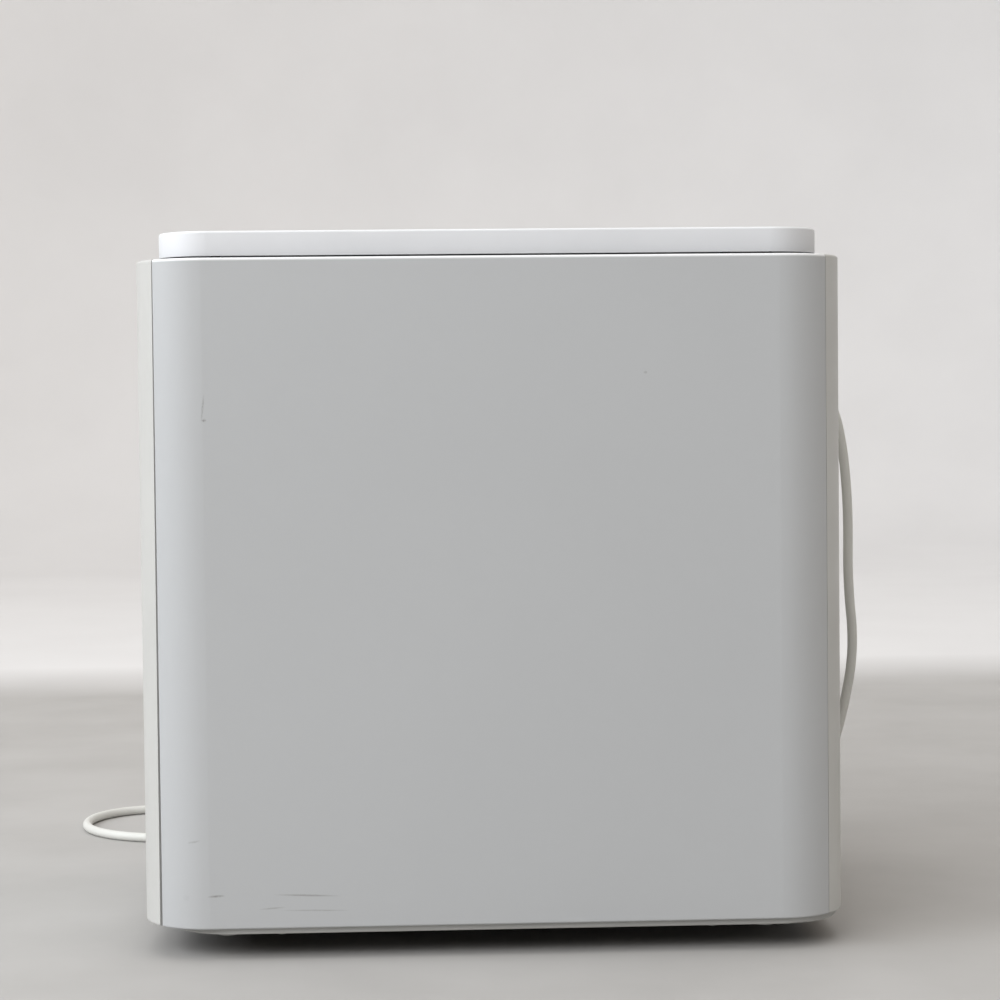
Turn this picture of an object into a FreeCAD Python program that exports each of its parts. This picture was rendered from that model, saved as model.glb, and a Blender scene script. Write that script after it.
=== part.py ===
import FreeCAD, Part
import math
import os

# A free-standing drawer compactor: a rounded white cabinet whose whole front is the drawer, a
# service lid over the controls, and a ram driven down into the bin by two chain-driven screws.
# Millimetres.  +Z is up, the drawer opens towards -Y, and the feet stand on z = 0.

Vec = FreeCAD.Vector
X_AXIS = Vec(1, 0, 0)
Y_AXIS = Vec(0, 1, 0)
Z_AXIS = Vec(0, 0, 1)
SIDES = (-1, 1)

# ---- driving dimensions: cabinet ------------------------------------------------------------
WIDTH = 360.0
DEPTH = 450.0
PANEL_BOTTOM = 20.0          # clearance between the floor and the panels' lower edge
PANEL_HEIGHT = 421.0
CORNER_R = 44.0              # vertical corners of the cabinet
WALL = 3.0                   # panel thickness
RIM_R = 1.8                  # rounding of the panels' top edge
FOOT_EDGE_R = 1.2            # rounding of the panels' bottom edge
FRONT_SEAM_TOP = 0.9         # gap beside the drawer front, which hangs a little askew
FRONT_SEAM_BOTTOM = 2.5
REAR_SEAM = 0.5
LID_GAP = 1.9
LID_HEIGHT = 15.7
LID_INSET = 14.2
LID_CORNER_R = 32.0
LID_WALL = 3.0
LID_EDGE_R = 1.5
SKIRT_DROP = 4.0             # how far the base pan shows below the panels
FIT = 0.4                    # clearance between pieces that slide past or drop into each other
RUN = 0.05                   # radial clearance of a shaft or pin in its hole

# ---- driving dimensions: frame --------------------------------------------------------------
SHEET = 1.5
PANEL_STANDOFF = 8.5         # side panel to side frame
FRAME_HOLE_R = 20.0          # lightening holes in the side frames
PAN_FLOOR = 3.0
DECK_Z = 38.0                # underside of the drive deck
DECK_T = 2.0
REAR_BAY = 115.0             # depth of the machinery bay behind the bin
TOP_DECK_T = 3.0
TOP_DECK_DROP = 13.0         # top deck's upper face, below the panel rim
TOP_FRAME_DROP = 21.0        # top frame's plate, below the top deck
TOP_FRAME_BAND = 31.0

# ---- driving dimensions: drawer, bin and ram -------------------------------------------------
BIN_WALL = 2.5
BIN_CORNER_R = 20.0
BIN_BOTTOM = 56.0
BIN_REAR_GAP = 5.0
RING_T = 3.5
PLATEN_GAP = 8.0
PLATEN_T = 30.0              # over its ribs
PLATEN_PLATE_T = 5.0
PLATEN_RIB_T = 4.0
PLATEN_INSET = 4.0           # flanges, in from the plate's edge
PLATEN_CORNER_R = 14.0
RAM_STROKE = 120.0
RING_CLEARANCE = 4.5          # bag ring to the raised platen, and to the lowered beam
BEAM_T = 24.0
NUT_R = 11.0
NUT_FLANGE_T = 2.5
BUSH_H = 8.0
BEAM_DEPTH = 60.0
SLIDE_X = 85.0
SLIDE_HEIGHT = 11.0
SLIDE_WIDTH = 32.0
CARRIER_T = 2.0

# ---- driving dimensions: drive ---------------------------------------------------------------
SCREW_R = 7.0
SCREW_LEAD = 15.0            # three-start thread
JOURNAL_R = 5.0
CHAIN_PITCH = 8.0
SPROCKET_TEETH = 9
CHAIN_Z = 28.0
CHAIN_PLATE = 6.8
ROLLER_R = 2.4
TOOTH_T = 2.8
GEAR_MODULE = 1.25
PINION_TEETH = 18
GEAR_TEETH = 72
GEAR_Z = 46.0
GEAR_T = 8.0
DRIVE_X = 20.0
MOTOR_R = 40.0
MOTOR_H = 110.0
MOTOR_PLATE_Z = 58.0
CAPACITOR_FOOT = 52.0
TERMINAL_Z = 300.0

# ---- driving dimensions: controls and cord ---------------------------------------------------
TRAY_DEPTH = 29.0
CANISTER_R = 30.0
CANISTER_H = 26.0
BUTTON_R = 8.0
BUTTON_TRAVEL = 3.0
CORD_D = 7.2
COIL_R = 40.0
COIL_TURNS = 2
COIL_CENTRE = (-330.0, -165.0)
PLUG_R = 18.0

# ---- sizes that follow ------------------------------------------------------------------------
HALF_W = WIDTH / 2
HALF_D = DEPTH / 2
PANEL_TOP = PANEL_BOTTOM + PANEL_HEIGHT
INNER_X = HALF_W - WALL
INNER_Y = HALF_D - WALL
PAN_BOTTOM = PANEL_BOTTOM - SKIRT_DROP
PAN_TOP = PAN_BOTTOM + PAN_FLOOR
FRAME_OUT = INNER_X - PANEL_STANDOFF
FRAME_IN = FRAME_OUT - SHEET
FRAME_FRONT = -HALF_D + CORNER_R - 5.0
FRAME_REAR = HALF_D - CORNER_R + 14.0
JOG_X = HALF_W - CORNER_R - 0.5
DECK_FRONT = -INNER_Y + 20.0
DECK_TOP = DECK_Z + DECK_T
TOP_DECK_Z = PANEL_TOP - TOP_DECK_DROP - TOP_DECK_T
TOP_DECK_TOP = PANEL_TOP - TOP_DECK_DROP
TOP_FRAME_Z = TOP_DECK_Z - TOP_FRAME_DROP
PITCH_R = CHAIN_PITCH / (2 * math.sin(math.pi / SPROCKET_TEETH))
SCREW_X = FRAME_IN - PITCH_R - CHAIN_PLATE / 2 - 2.9
BIN_OUT_X = SCREW_X - SCREW_R - 7.0
BULKHEAD_Y = HALF_D - REAR_BAY
BIN_FRONT = -INNER_Y + 23.0
BIN_REAR = BULKHEAD_Y - BIN_REAR_GAP
BIN_MID_Y = (BIN_FRONT + BIN_REAR) / 2
NUT_TOP = min(TOP_DECK_TOP - TRAY_DEPTH - 4.5, TOP_FRAME_Z - BUSH_H - 1.5)
BEAM_Z = NUT_TOP - NUT_FLANGE_T - BEAM_T
PLATEN_Z = BEAM_Z - RAM_STROKE
RING_TOP = PLATEN_Z - RING_CLEARANCE
BIN_TOP = RING_TOP - RING_T
PLATEN_X = BIN_OUT_X - BIN_WALL - PLATEN_GAP
PLATEN_FRONT = BIN_FRONT + BIN_WALL + PLATEN_GAP
PLATEN_REAR = BIN_REAR - BIN_WALL - PLATEN_GAP
DRAWER_TRAVEL = BIN_REAR - PLATEN_FRONT + 5.0
DRIVE_Y = BULKHEAD_Y + (HALF_D - WALL - BULKHEAD_Y) / 2 - 1.0
CENTRES = GEAR_MODULE * (PINION_TEETH + GEAR_TEETH) / 2 + 0.15
MOTOR_X = DRIVE_X - CENTRES
CAPACITOR_X = JOG_X - CAPACITOR_FOOT / 2 - 5.5
LID_Z = PANEL_TOP + LID_GAP
LID_TOP = LID_Z + LID_HEIGHT
LID_X = HALF_W - LID_INSET
LID_Y = HALF_D - LID_INSET
HINGE_Y = LID_Y - 10.8
HINGE_Z = LID_Z + 3.1


# ---- small shape helpers ----------------------------------------------------------------------
def block(x0, x1, y0, y1, z0, z1):
    return Part.makeBox(x1 - x0, y1 - y0, z1 - z0, Vec(x0, y0, z0))


def rod(r, base, length, axis=Z_AXIS):
    return Part.makeCylinder(r, length, Vec(*base), axis)


def tube(r_out, r_in, base, length, axis=Z_AXIS):
    return rod(r_out, base, length, axis).cut(rod(r_in, base, length, axis))


def fuse_all(shapes):
    return shapes[0].multiFuse(shapes[1:]).removeSplitter()


def group(shapes):
    return Part.makeCompound(shapes)


def rounded_face(x0, x1, y0, y1, r, z):
    """A flat rectangle with round corners at height z."""
    d = r * (1 - math.sqrt(0.5))
    edges = [
        Part.makeLine(Vec(x0 + r, y0, z), Vec(x1 - r, y0, z)),
        Part.Arc(Vec(x1 - r, y0, z), Vec(x1 - d, y0 + d, z), Vec(x1, y0 + r, z)).toShape(),
        Part.makeLine(Vec(x1, y0 + r, z), Vec(x1, y1 - r, z)),
        Part.Arc(Vec(x1, y1 - r, z), Vec(x1 - d, y1 - d, z), Vec(x1 - r, y1, z)).toShape(),
        Part.makeLine(Vec(x1 - r, y1, z), Vec(x0 + r, y1, z)),
        Part.Arc(Vec(x0 + r, y1, z), Vec(x0 + d, y1 - d, z), Vec(x0, y1 - r, z)).toShape(),
        Part.makeLine(Vec(x0, y1 - r, z), Vec(x0, y0 + r, z)),
        Part.Arc(Vec(x0, y0 + r, z), Vec(x0 + d, y0 + d, z), Vec(x0 + r, y0, z)).toShape(),
    ]
    return Part.Face(Part.Wire(edges))


def rounded_block(x0, x1, y0, y1, z0, z1, r):
    return rounded_face(x0, x1, y0, y1, r, z0).extrude(Vec(0, 0, z1 - z0))


def polygon_face(points, z):
    corners = [Vec(x, y, z) for x, y in points]
    return Part.Face(Part.makePolygon(corners + corners[:1]))


def edges_at(shape, z):
    return [e for e in shape.Edges if abs(e.BoundBox.ZMin - z) < 1e-4 and abs(e.BoundBox.ZMax - z) < 1e-4]


def outline_edges(shape, z, half_x, half_y):
    """Edges at height z that lie on the outer outline, whose corners reach half_x and half_y."""
    keep = []
    for edge in edges_at(shape, z):
        middle = edge.valueAt((edge.FirstParameter + edge.LastParameter) / 2)
        on_x = abs(abs(middle.x) - half_x) < 1e-3
        on_y = abs(abs(middle.y) - half_y) < 1e-3
        on_corner = edge.Curve.TypeId == "Part::GeomCircle" and abs(edge.Curve.Radius - CORNER_R) < 1e-3
        if on_x or on_y or on_corner:
            keep.append(edge)
    return keep


def mirror_x(shape):
    return shape.mirror(Vec(0, 0, 0), X_AXIS)


def both_sides(shape):
    return [shape, mirror_x(shape)]


def save(shape, name):
    shape.exportStep("parts/" + name + ".step")


# ---- cabinet skins ----------------------------------------------------------------------------
def cabinet_ring():
    """The cabinet's four walls in one piece, which the seams then divide."""
    outer = rounded_block(-HALF_W, HALF_W, -HALF_D, HALF_D, PANEL_BOTTOM, PANEL_TOP, CORNER_R)
    outer = outer.makeFillet(RIM_R, outline_edges(outer, PANEL_TOP, HALF_W, HALF_D))
    outer = outer.makeFillet(FOOT_EDGE_R, outline_edges(outer, PANEL_BOTTOM, HALF_W, HALF_D))
    inner = rounded_block(
        -INNER_X, INNER_X, -INNER_Y, INNER_Y, PANEL_BOTTOM - 1, PANEL_TOP + 1, CORNER_R - WALL
    )
    return outer.cut(inner)


def seam_block(toward, gap_bottom, gap_top):
    """The space in front of (toward -1) or behind (+1) the 45 degree planes through both corners."""
    reach = CORNER_R + 20.0
    sections = []
    for z, gap in ((PANEL_BOTTOM - 2, gap_bottom), (PANEL_TOP + 2, gap_top)):
        shift = gap / math.sqrt(2)
        cx = HALF_W - CORNER_R - shift
        cy = HALF_D - CORNER_R + shift
        points = [(cx, cy), (cx + reach, cy + reach), (-cx - reach, cy + reach), (-cx, cy)]
        corners = [Vec(x, toward * y, z) for x, y in points]
        sections.append(Part.makePolygon(corners + corners[:1]))
    return Part.makeLoft(sections, True, True)


def side_bosses(side):
    """Hollow posts that hold the panel off the side frame."""
    posts = []
    for y in (FRAME_FRONT + 30.0, HALF_D - 45.0):
        for z in (PANEL_BOTTOM + 60.0, PANEL_TOP - 80.0):
            base = (side * FRAME_OUT if side > 0 else -INNER_X - 0.5, y, z)
            posts.append(tube(6.0, 1.6, base, PANEL_STANDOFF + 0.5, X_AXIS))
    return posts


def make_side_panel(ring, side):
    middle = ring.cut(seam_block(-1, 0, 0)).cut(seam_block(1, 0, 0))
    keep = block(min(0, side * WIDTH), max(0, side * WIDTH), -DEPTH, DEPTH, 0, 2 * PANEL_TOP)
    return fuse_all([middle.common(keep)] + side_bosses(side))


GRIP_HALF = 62.0
GRIP_TOP = 46.0
GRIP_H = 26.0
GRIP_DEPTH = 17.0


def grip_cut(grow, y_back):
    """The finger recess in the drawer front, its outline grown by a wall thickness."""
    z1 = PANEL_TOP - GRIP_TOP + grow
    z0 = z1 - GRIP_H - 2 * grow
    x = GRIP_HALF + grow
    r = GRIP_H / 2 + grow - 0.5
    face = rounded_face(-x, x, z0, z1, r, 0)
    face.rotate(Vec(0, 0, 0), X_AXIS, 90)
    face.translate(Vec(0, y_back, 0))
    return face.extrude(Vec(0, -HALF_D - 1 - y_back, 0))


def make_drawer_front(ring):
    skin = ring.common(seam_block(-1, FRONT_SEAM_BOTTOM, FRONT_SEAM_TOP))
    skin = skin.cut(grip_cut(0, -INNER_Y + 1))
    posts = []
    for x in (-100.0, 100.0):
        for z in (PANEL_BOTTOM + 70.0, PANEL_BOTTOM + 150.0):
            posts.append(tube(6.0, 1.6, (x, -INNER_Y - 0.5, z), 8.5, Y_AXIS))
    return fuse_all([skin] + posts)


def make_pull_cup():
    """A moulded cup behind the finger recess, glued to the drawer front's inner face."""
    shell = grip_cut(2.0, -INNER_Y + GRIP_DEPTH).common(
        block(-WIDTH, WIDTH, -INNER_Y, 0, 0, PANEL_TOP)
    )
    hollow = grip_cut(0, -INNER_Y + GRIP_DEPTH - 2.0)
    return shell.cut(hollow)


VENT_ROWS = 9
VENT_PITCH = 13.0
VENT_LOW_Z = 84.0
COVER_SCREW_X = JOG_X - 8.5
SCREW_HEAD_R = 4.2
SCREW_HEAD_H = 2.3
SHANK_R = 1.9
GLAND_X = -70.0
GLAND_EXIT = Vec(GLAND_X, HALF_D + 20.0, 372.0)
GLAND_DIR = Vec(0, 0.5, -math.sqrt(0.75))
GLAND_LENGTH = 34.0


def cover_screw_points():
    z_low = PANEL_BOTTOM + 40.0
    z_high = PANEL_TOP - 41.0
    heights = [z_low + (z_high - z_low) * i / 3 for i in range(4)]
    return [(side * COVER_SCREW_X, z) for side in SIDES for z in heights]


def make_rear_cover(ring):
    skin = ring.common(seam_block(1, REAR_SEAM, REAR_SEAM))
    slots = []
    for column in SIDES:
        for row in range(VENT_ROWS):
            z = VENT_LOW_Z + VENT_PITCH * row
            x = MOTOR_X / 2 + column * 42.0
            slots.append(slot_cut(x, z, 70.0, 5.0))
    for x, z in cover_screw_points():
        slots.append(rod(SHANK_R + 0.4, (x, INNER_Y - 1, z), WALL + 2, Y_AXIS))
        slots.append(countersink(x, z, 0.02))
    seat = GLAND_EXIT - GLAND_DIR * GLAND_LENGTH
    slots.append(rod(9.0 + FIT, (GLAND_X, INNER_Y - 1, seat.z), WALL + 2, Y_AXIS))
    return skin.cut(group(slots))


def slot_cut(x, z, length, height):
    """A round-ended slot through the rear cover."""
    half = length / 2 - height / 2
    y0 = INNER_Y - 1
    span = WALL + 2
    middle = block(x - half, x + half, y0, y0 + span, z - height / 2, z + height / 2)
    ends = [rod(height / 2, (x + s * half, y0, z), span, Y_AXIS) for s in SIDES]
    return fuse_all([middle] + ends)


def countersink(x, z, grow):
    """The cone of a flat screw head, its face flush with the rear cover's."""
    base = Vec(x, HALF_D - SCREW_HEAD_H, z)
    return Part.makeCone(SHANK_R + grow, SCREW_HEAD_R + grow, SCREW_HEAD_H, base, Y_AXIS)


def make_cover_screws():
    """Flat-head self-tapping screws through the rear cover into the side frames' rear flanges."""
    screws = []
    for x, z in cover_screw_points():
        shank = rod(SHANK_R, (x, HALF_D - 12.0, z), 12.0 - SCREW_HEAD_H, Y_AXIS)
        cross = [
            block(x - 2.2, x + 2.2, HALF_D - 1.2, HALF_D + 1, z - 0.4, z + 0.4),
            block(x - 0.4, x + 0.4, HALF_D - 1.2, HALF_D + 1, z - 2.2, z + 2.2),
        ]
        screws.append(countersink(x, z, 0).fuse(shank).cut(fuse_all(cross)))
    return group(screws)


# ---- base and frame ---------------------------------------------------------------------------
def dome(x, y, chord_r, drop):
    """A shallow domed pad moulded under the pan."""
    r = (chord_r ** 2 + drop ** 2) / (2 * drop)
    ball = Part.makeSphere(r, Vec(x, y, PAN_BOTTOM - drop + r))
    return ball.common(rod(chord_r + 1, (x, y, PAN_BOTTOM - drop - 1), drop + 2))


FOOT_X = 92.0                # from the side of the cabinet
FOOT_Y = 50.0                # from its front and back
FOOT_R = 15.0


def foot_points():
    return [(sx * (HALF_W - FOOT_X), sy * (HALF_D - FOOT_Y)) for sx in SIDES for sy in SIDES]


def make_base_pan():
    x = INNER_X - FIT
    y = INNER_Y - FIT
    r = CORNER_R - WALL - FIT
    front = -INNER_Y + 14.0
    outer = rounded_block(-x, x, front, y, PAN_BOTTOM, PAN_TOP + 10.0, r)
    inner = rounded_block(-x + 2, x - 2, front + 2, y - 2, PAN_TOP, PAN_TOP + 11.0, r - 2)
    pan = outer.cut(inner)
    pan = pan.makeFillet(1.0, edges_at(pan, PAN_BOTTOM))
    pads = []
    for side in SIDES:
        for end in SIDES:
            pads.append(dome(side * (x - 15.0), end * (HALF_D - 54.0), 12.5, 3.0))
            pads.append(dome(side * (x - 11.0), end * (HALF_D - 88.0), 6.5, 2.4))
    pan = fuse_all([pan] + pads)
    holes = [rod(2.2, (fx, fy, PAN_BOTTOM - 1), PAN_FLOOR + 2) for fx, fy in foot_points()]
    return pan.cut(group(holes))


def make_rubber_feet():
    feet = []
    for x, y in foot_points():
        foot = Part.makeCone(FOOT_R - 2, FOOT_R, PAN_BOTTOM, Vec(x, y, 0), Z_AXIS)
        foot = foot.makeFillet(1.0, edges_at(foot, 0))
        foot = foot.cut(rod(6.0, (x, y, -1), 9.0)).cut(rod(2.2, (x, y, -1), PAN_BOTTOM + 2))
        feet.append(foot)
    return group(feet)


def make_foot_screws():
    screws = []
    for x, y in foot_points():
        screws.append(rod(4.2, (x, y, 5.6), 2.4).fuse(rod(2.0, (x, y, 8.0), PAN_TOP + 3.0 - 8.0)))
    return group(screws)


def make_side_frame(side):
    """A sheet-steel side plate, stepped in behind the round corner to a flange for the cover."""
    z0 = PAN_TOP
    z1 = TOP_FRAME_Z + 2.0
    y1 = INNER_Y - 0.2
    plate = block(FRAME_IN, FRAME_OUT, FRAME_FRONT, FRAME_REAR, z0, z1)
    step = block(JOG_X - SHEET, FRAME_OUT, FRAME_REAR - SHEET, FRAME_REAR, z0, z1)
    web = block(JOG_X - SHEET, JOG_X, FRAME_REAR - SHEET, y1, z0 + 14.0, z1)
    rear = block(COVER_SCREW_X - 9.0, JOG_X, y1 - SHEET, y1, z0 + 14.0, z1)
    lip = block(FRAME_IN, FRAME_OUT + 5.0, FRAME_FRONT, FRAME_FRONT + SHEET, z0 + 14.0, z1)
    foot = block(FRAME_IN, FRAME_OUT + 5.0, FRAME_FRONT + 20.0, FRAME_REAR - 20.0, z0, z0 + SHEET)
    frame = fuse_all([plate, step, web, rear, lip, foot])
    cuts = []
    for z in (140.0, 300.0):
        for y in (BIN_MID_Y - 80.0, BIN_MID_Y + 80.0):
            cuts.append(rod(FRAME_HOLE_R, (FRAME_IN - 1, y, z), SHEET + 2, X_AXIS))
    for x, z in cover_screw_points():
        if x > 0:
            cuts.append(rod(2.0, (x, y1 - SHEET - 1, z), SHEET + 2, Y_AXIS))
    frame = frame.cut(group(cuts))
    return frame if side > 0 else mirror_x(frame)


def make_drive_deck():
    """The steel floor over the chain, with holes for the screws, the drive shaft and the pinion."""
    x = FRAME_IN - 0.1
    x_rear = JOG_X - SHEET - 0.1
    y1 = INNER_Y - 6.0
    deck = block(-x, x, DECK_FRONT, FRAME_REAR - SHEET - 0.1, DECK_Z, DECK_TOP)
    rear = block(-x_rear, x_rear, FRAME_REAR - SHEET - 0.2, y1, DECK_Z, DECK_TOP)
    deck = deck.fuse(rear)
    skirt = [
        block(-x_rear, x_rear, DECK_FRONT, DECK_FRONT + DECK_T, PAN_TOP, DECK_Z),
        block(-x_rear, x_rear, y1 - DECK_T, y1, PAN_TOP, DECK_Z),
    ]
    holes = [rod(JOURNAL_R + 3, (s * SCREW_X, BIN_MID_Y, DECK_Z - 1), DECK_T + 2) for s in SIDES]
    holes.append(rod(JOURNAL_R + 4, (DRIVE_X, DRIVE_Y, DECK_Z - 1), DECK_T + 2))
    return fuse_all([deck] + skirt).cut(group(holes))


def make_bulkhead():
    x = FRAME_IN - 0.1
    wall = block(-x, x, BULKHEAD_Y, BULKHEAD_Y + SHEET, DECK_TOP, TOP_FRAME_Z)
    tabs = [
        block(-x, x, BULKHEAD_Y, BULKHEAD_Y + 7.0, DECK_TOP, DECK_TOP + SHEET),
        block(-x, x, BULKHEAD_Y, BULKHEAD_Y + 12.0, TOP_FRAME_Z - SHEET, TOP_FRAME_Z),
    ]
    return fuse_all([wall] + tabs)


def make_top_frame():
    """A ring plate with an upstand that carries the top deck and the screws' upper bearings."""
    x = FRAME_IN - 0.1
    y0 = FRAME_FRONT
    y1 = FRAME_REAR - SHEET - 0.1
    z = TOP_FRAME_Z
    plate = block(-x, x, y0, y1, z, z + 2.0)
    opening = block(
        -x + TOP_FRAME_BAND, x - TOP_FRAME_BAND, y0 + 24.0, y1 - 24.0, z - 1, z + 3.0
    )
    wall = block(-x, x, y0, y1, z + 2.0, TOP_DECK_Z)
    hollow = block(-x + 2, x - 2, y0 + 2, y1 - 2, z + 1.0, TOP_DECK_Z + 1)
    frame = fuse_all([plate.cut(opening), wall.cut(hollow)])
    holes = [rod(JOURNAL_R + 1, (s * SCREW_X, BIN_MID_Y, z - 1), 4.0) for s in SIDES]
    return frame.cut(group(holes))


# ---- top deck, lid and controls ---------------------------------------------------------------
TRAY_X1 = -20.0
TRAY_X0 = TRAY_X1 - 100.0
TRAY_Y1 = BULKHEAD_Y - 10.0
TRAY_Y0 = TRAY_Y1 - 160.0
CANISTER = (66.0, 20.0)
CONSOLE_Y = -HALF_D + 75.0
CONSOLE_H = 13.0
START_X = -38.0
STOP_X = -8.0
LENS_X = 16.0
KEY_X = 42.0


def make_top_deck():
    x = INNER_X - FIT
    y = INNER_Y - FIT
    deck = rounded_block(
        -x, x, -y + 6.0, y, TOP_DECK_Z, TOP_DECK_TOP, CORNER_R - WALL - FIT
    )
    cx, cy = CANISTER
    pocket = rod(CANISTER_R + 3.0, (cx, cy, TOP_DECK_TOP - CANISTER_H), CANISTER_H)
    well = rod(CANISTER_R + 1.0, (cx, cy, TOP_DECK_TOP - CANISTER_H + 2.0), CANISTER_H)
    vents = [
        rod(3.0, (cx + 14 * math.cos(a), cy + 14 * math.sin(a), TOP_DECK_TOP - CANISTER_H - 1), 4.0)
        for a in [i * math.pi / 3 for i in range(6)]
    ]
    tray_hole = rounded_block(
        TRAY_X0 - FIT, TRAY_X1 + FIT, TRAY_Y0 - FIT, TRAY_Y1 + FIT, TOP_DECK_Z - 1, TOP_DECK_TOP + 1, 8.0
    )
    wire_hole = rod(6.0, (KEY_X + 14.0, CONSOLE_Y, TOP_DECK_Z - 1), TOP_DECK_T + 2)
    deck = deck.fuse(pocket).cut(well).cut(group(vents)).cut(tray_hole).cut(wire_hole)
    return deck.removeSplitter()


def make_bag_tray():
    """A drop-in moulded tray for the spare bags, hung by its rim on the deck."""
    z0 = TOP_DECK_TOP - TRAY_DEPTH
    body = rounded_block(TRAY_X0, TRAY_X1, TRAY_Y0, TRAY_Y1, z0, TOP_DECK_TOP, 8.0)
    rim = rounded_block(
        TRAY_X0 - 5, TRAY_X1 + 5, TRAY_Y0 - 5, TRAY_Y1 + 5, TOP_DECK_TOP, TOP_DECK_TOP + 1.6, 12.0
    )
    hollow = rounded_block(
        TRAY_X0 + 2, TRAY_X1 - 2, TRAY_Y0 + 2, TRAY_Y1 - 2, z0 + 2, TOP_DECK_TOP + 3, 6.0
    )
    return body.fuse(rim).cut(hollow).removeSplitter()


def make_bag_roll():
    r = 12.0
    x = (TRAY_X0 + TRAY_X1) / 2
    z = TOP_DECK_TOP - TRAY_DEPTH + 2.0 + r + 0.3
    return tube(r, 4.0, (x, TRAY_Y0 + 10, z), TRAY_Y1 - TRAY_Y0 - 20, Y_AXIS)


def make_canister():
    """The deodoriser cartridge: a drum with a slotted cap and a lifting tab."""
    cx, cy = CANISTER
    z0 = TOP_DECK_TOP - CANISTER_H + 2.0
    drum = rod(CANISTER_R, (cx, cy, z0), CANISTER_H)
    drum = drum.makeFillet(2.0, edges_at(drum, z0 + CANISTER_H))
    slots = []
    for i in range(12):
        a = i * math.pi / 6
        slot = block(cx + 14, cx + 25, cy - 1.3, cy + 1.3, z0 + CANISTER_H - 3, z0 + CANISTER_H + 1)
        slot.rotate(Vec(cx, cy, 0), Z_AXIS, math.degrees(a))
        slots.append(slot)
    tab = block(cx - 9, cx + 9, cy - 1.5, cy + 1.5, z0 + CANISTER_H - 0.5, z0 + CANISTER_H + 7.0)
    return drum.cut(group(slots)).fuse(tab).removeSplitter()


def make_console():
    """The raised control housing, hollow, with holes for the buttons, lens and key barrel."""
    x0 = START_X - 20.0
    x1 = KEY_X + 24.0
    y0 = CONSOLE_Y - 24.0
    y1 = CONSOLE_Y + 24.0
    z0 = TOP_DECK_TOP
    shell = rounded_block(x0, x1, y0, y1, z0, z0 + CONSOLE_H, 9.0)
    shell = shell.makeFillet(2.0, edges_at(shell, z0 + CONSOLE_H))
    hollow = rounded_block(x0 + 2, x1 - 2, y0 + 2, y1 - 2, z0 - 1, z0 + CONSOLE_H - 2.0, 7.0)
    holes = [
        rod(BUTTON_R + 0.3, (START_X, CONSOLE_Y, z0), CONSOLE_H + 2),
        rod(BUTTON_R + 0.3, (STOP_X, CONSOLE_Y, z0), CONSOLE_H + 2),
        rod(3.0, (LENS_X, CONSOLE_Y, z0), CONSOLE_H + 2),
        rod(8.0, (KEY_X, CONSOLE_Y, z0), CONSOLE_H + 2),
    ]
    return shell.cut(hollow).cut(group(holes))


def make_control_board():
    z = TOP_DECK_TOP + 1.0
    board = block(START_X - 14, KEY_X + 6, CONSOLE_Y - 18, CONSOLE_Y + 18, z, z + 1.6)
    switches = [block(x - 4, x + 4, CONSOLE_Y - 4, CONSOLE_Y + 4, z + 1.6, z + 3.0) for x in (START_X, STOP_X)]
    relay = block(LENS_X - 6, LENS_X + 6, CONSOLE_Y + 5, CONSOLE_Y + 16, z + 1.6, z + 8.0)
    key_hole = rod(8.4, (KEY_X, CONSOLE_Y, z - 1), 4.0)
    return fuse_all([board, relay] + switches).cut(key_hole)


def make_button(x):
    """A round push button with a flange under the console's top, proud by more than its travel."""
    z_top = TOP_DECK_TOP + CONSOLE_H
    proud = BUTTON_TRAVEL + 1.0
    cap = rod(BUTTON_R, (x, CONSOLE_Y, z_top - 4.3), 4.3 + proud)
    cap = cap.makeFillet(1.2, edges_at(cap, z_top + proud))
    flange = rod(BUTTON_R + 2.0, (x, CONSOLE_Y, z_top - 4.3), 2.0)
    return cap.fuse(flange).removeSplitter()


def make_lens():
    z_top = TOP_DECK_TOP + CONSOLE_H
    body = rod(3.0 - RUN, (LENS_X, CONSOLE_Y, z_top - 5.0), 7.0)
    return body.makeFillet(1.5, edges_at(body, z_top + 2.0))


def make_key_barrel():
    """The fixed lock barrel: flanged, open along its axis for the turning core."""
    z_top = TOP_DECK_TOP + CONSOLE_H
    body = rod(8.0 - RUN, (KEY_X, CONSOLE_Y, z_top - 12.0), 12.0)
    flange = rod(10.0, (KEY_X, CONSOLE_Y, z_top), 1.6)
    bore = rod(6.0, (KEY_X, CONSOLE_Y, z_top - 10.0), 14.0)
    return body.fuse(flange).cut(bore).removeSplitter()


def make_key():
    """The lock's turning core with its key left in."""
    z_top = TOP_DECK_TOP + CONSOLE_H
    core = rod(6.0 - RUN, (KEY_X, CONSOLE_Y, z_top - 9.5), 11.6)
    blade = block(KEY_X - 3.2, KEY_X + 3.2, CONSOLE_Y - 0.9, CONSOLE_Y + 0.9, z_top + 1.6, z_top + 6.0)
    bow = block(KEY_X - 6.0, KEY_X + 6.0, CONSOLE_Y - 1.2, CONSOLE_Y + 1.2, z_top + 5.5, z_top + 13.0)
    uprights = [e for e in bow.Edges if abs(e.BoundBox.XLength) < 1e-6 and abs(e.BoundBox.ZLength) < 1e-6]
    bow = bow.makeFillet(2.5, uprights)
    return fuse_all([core, blade, bow])


HINGE_X = 110.0
HINGE_PIN_R = 2.5
KNUCKLE_R = 5.0
EAR_T = 6.0
KNUCKLE_LEN = 26.0


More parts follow.
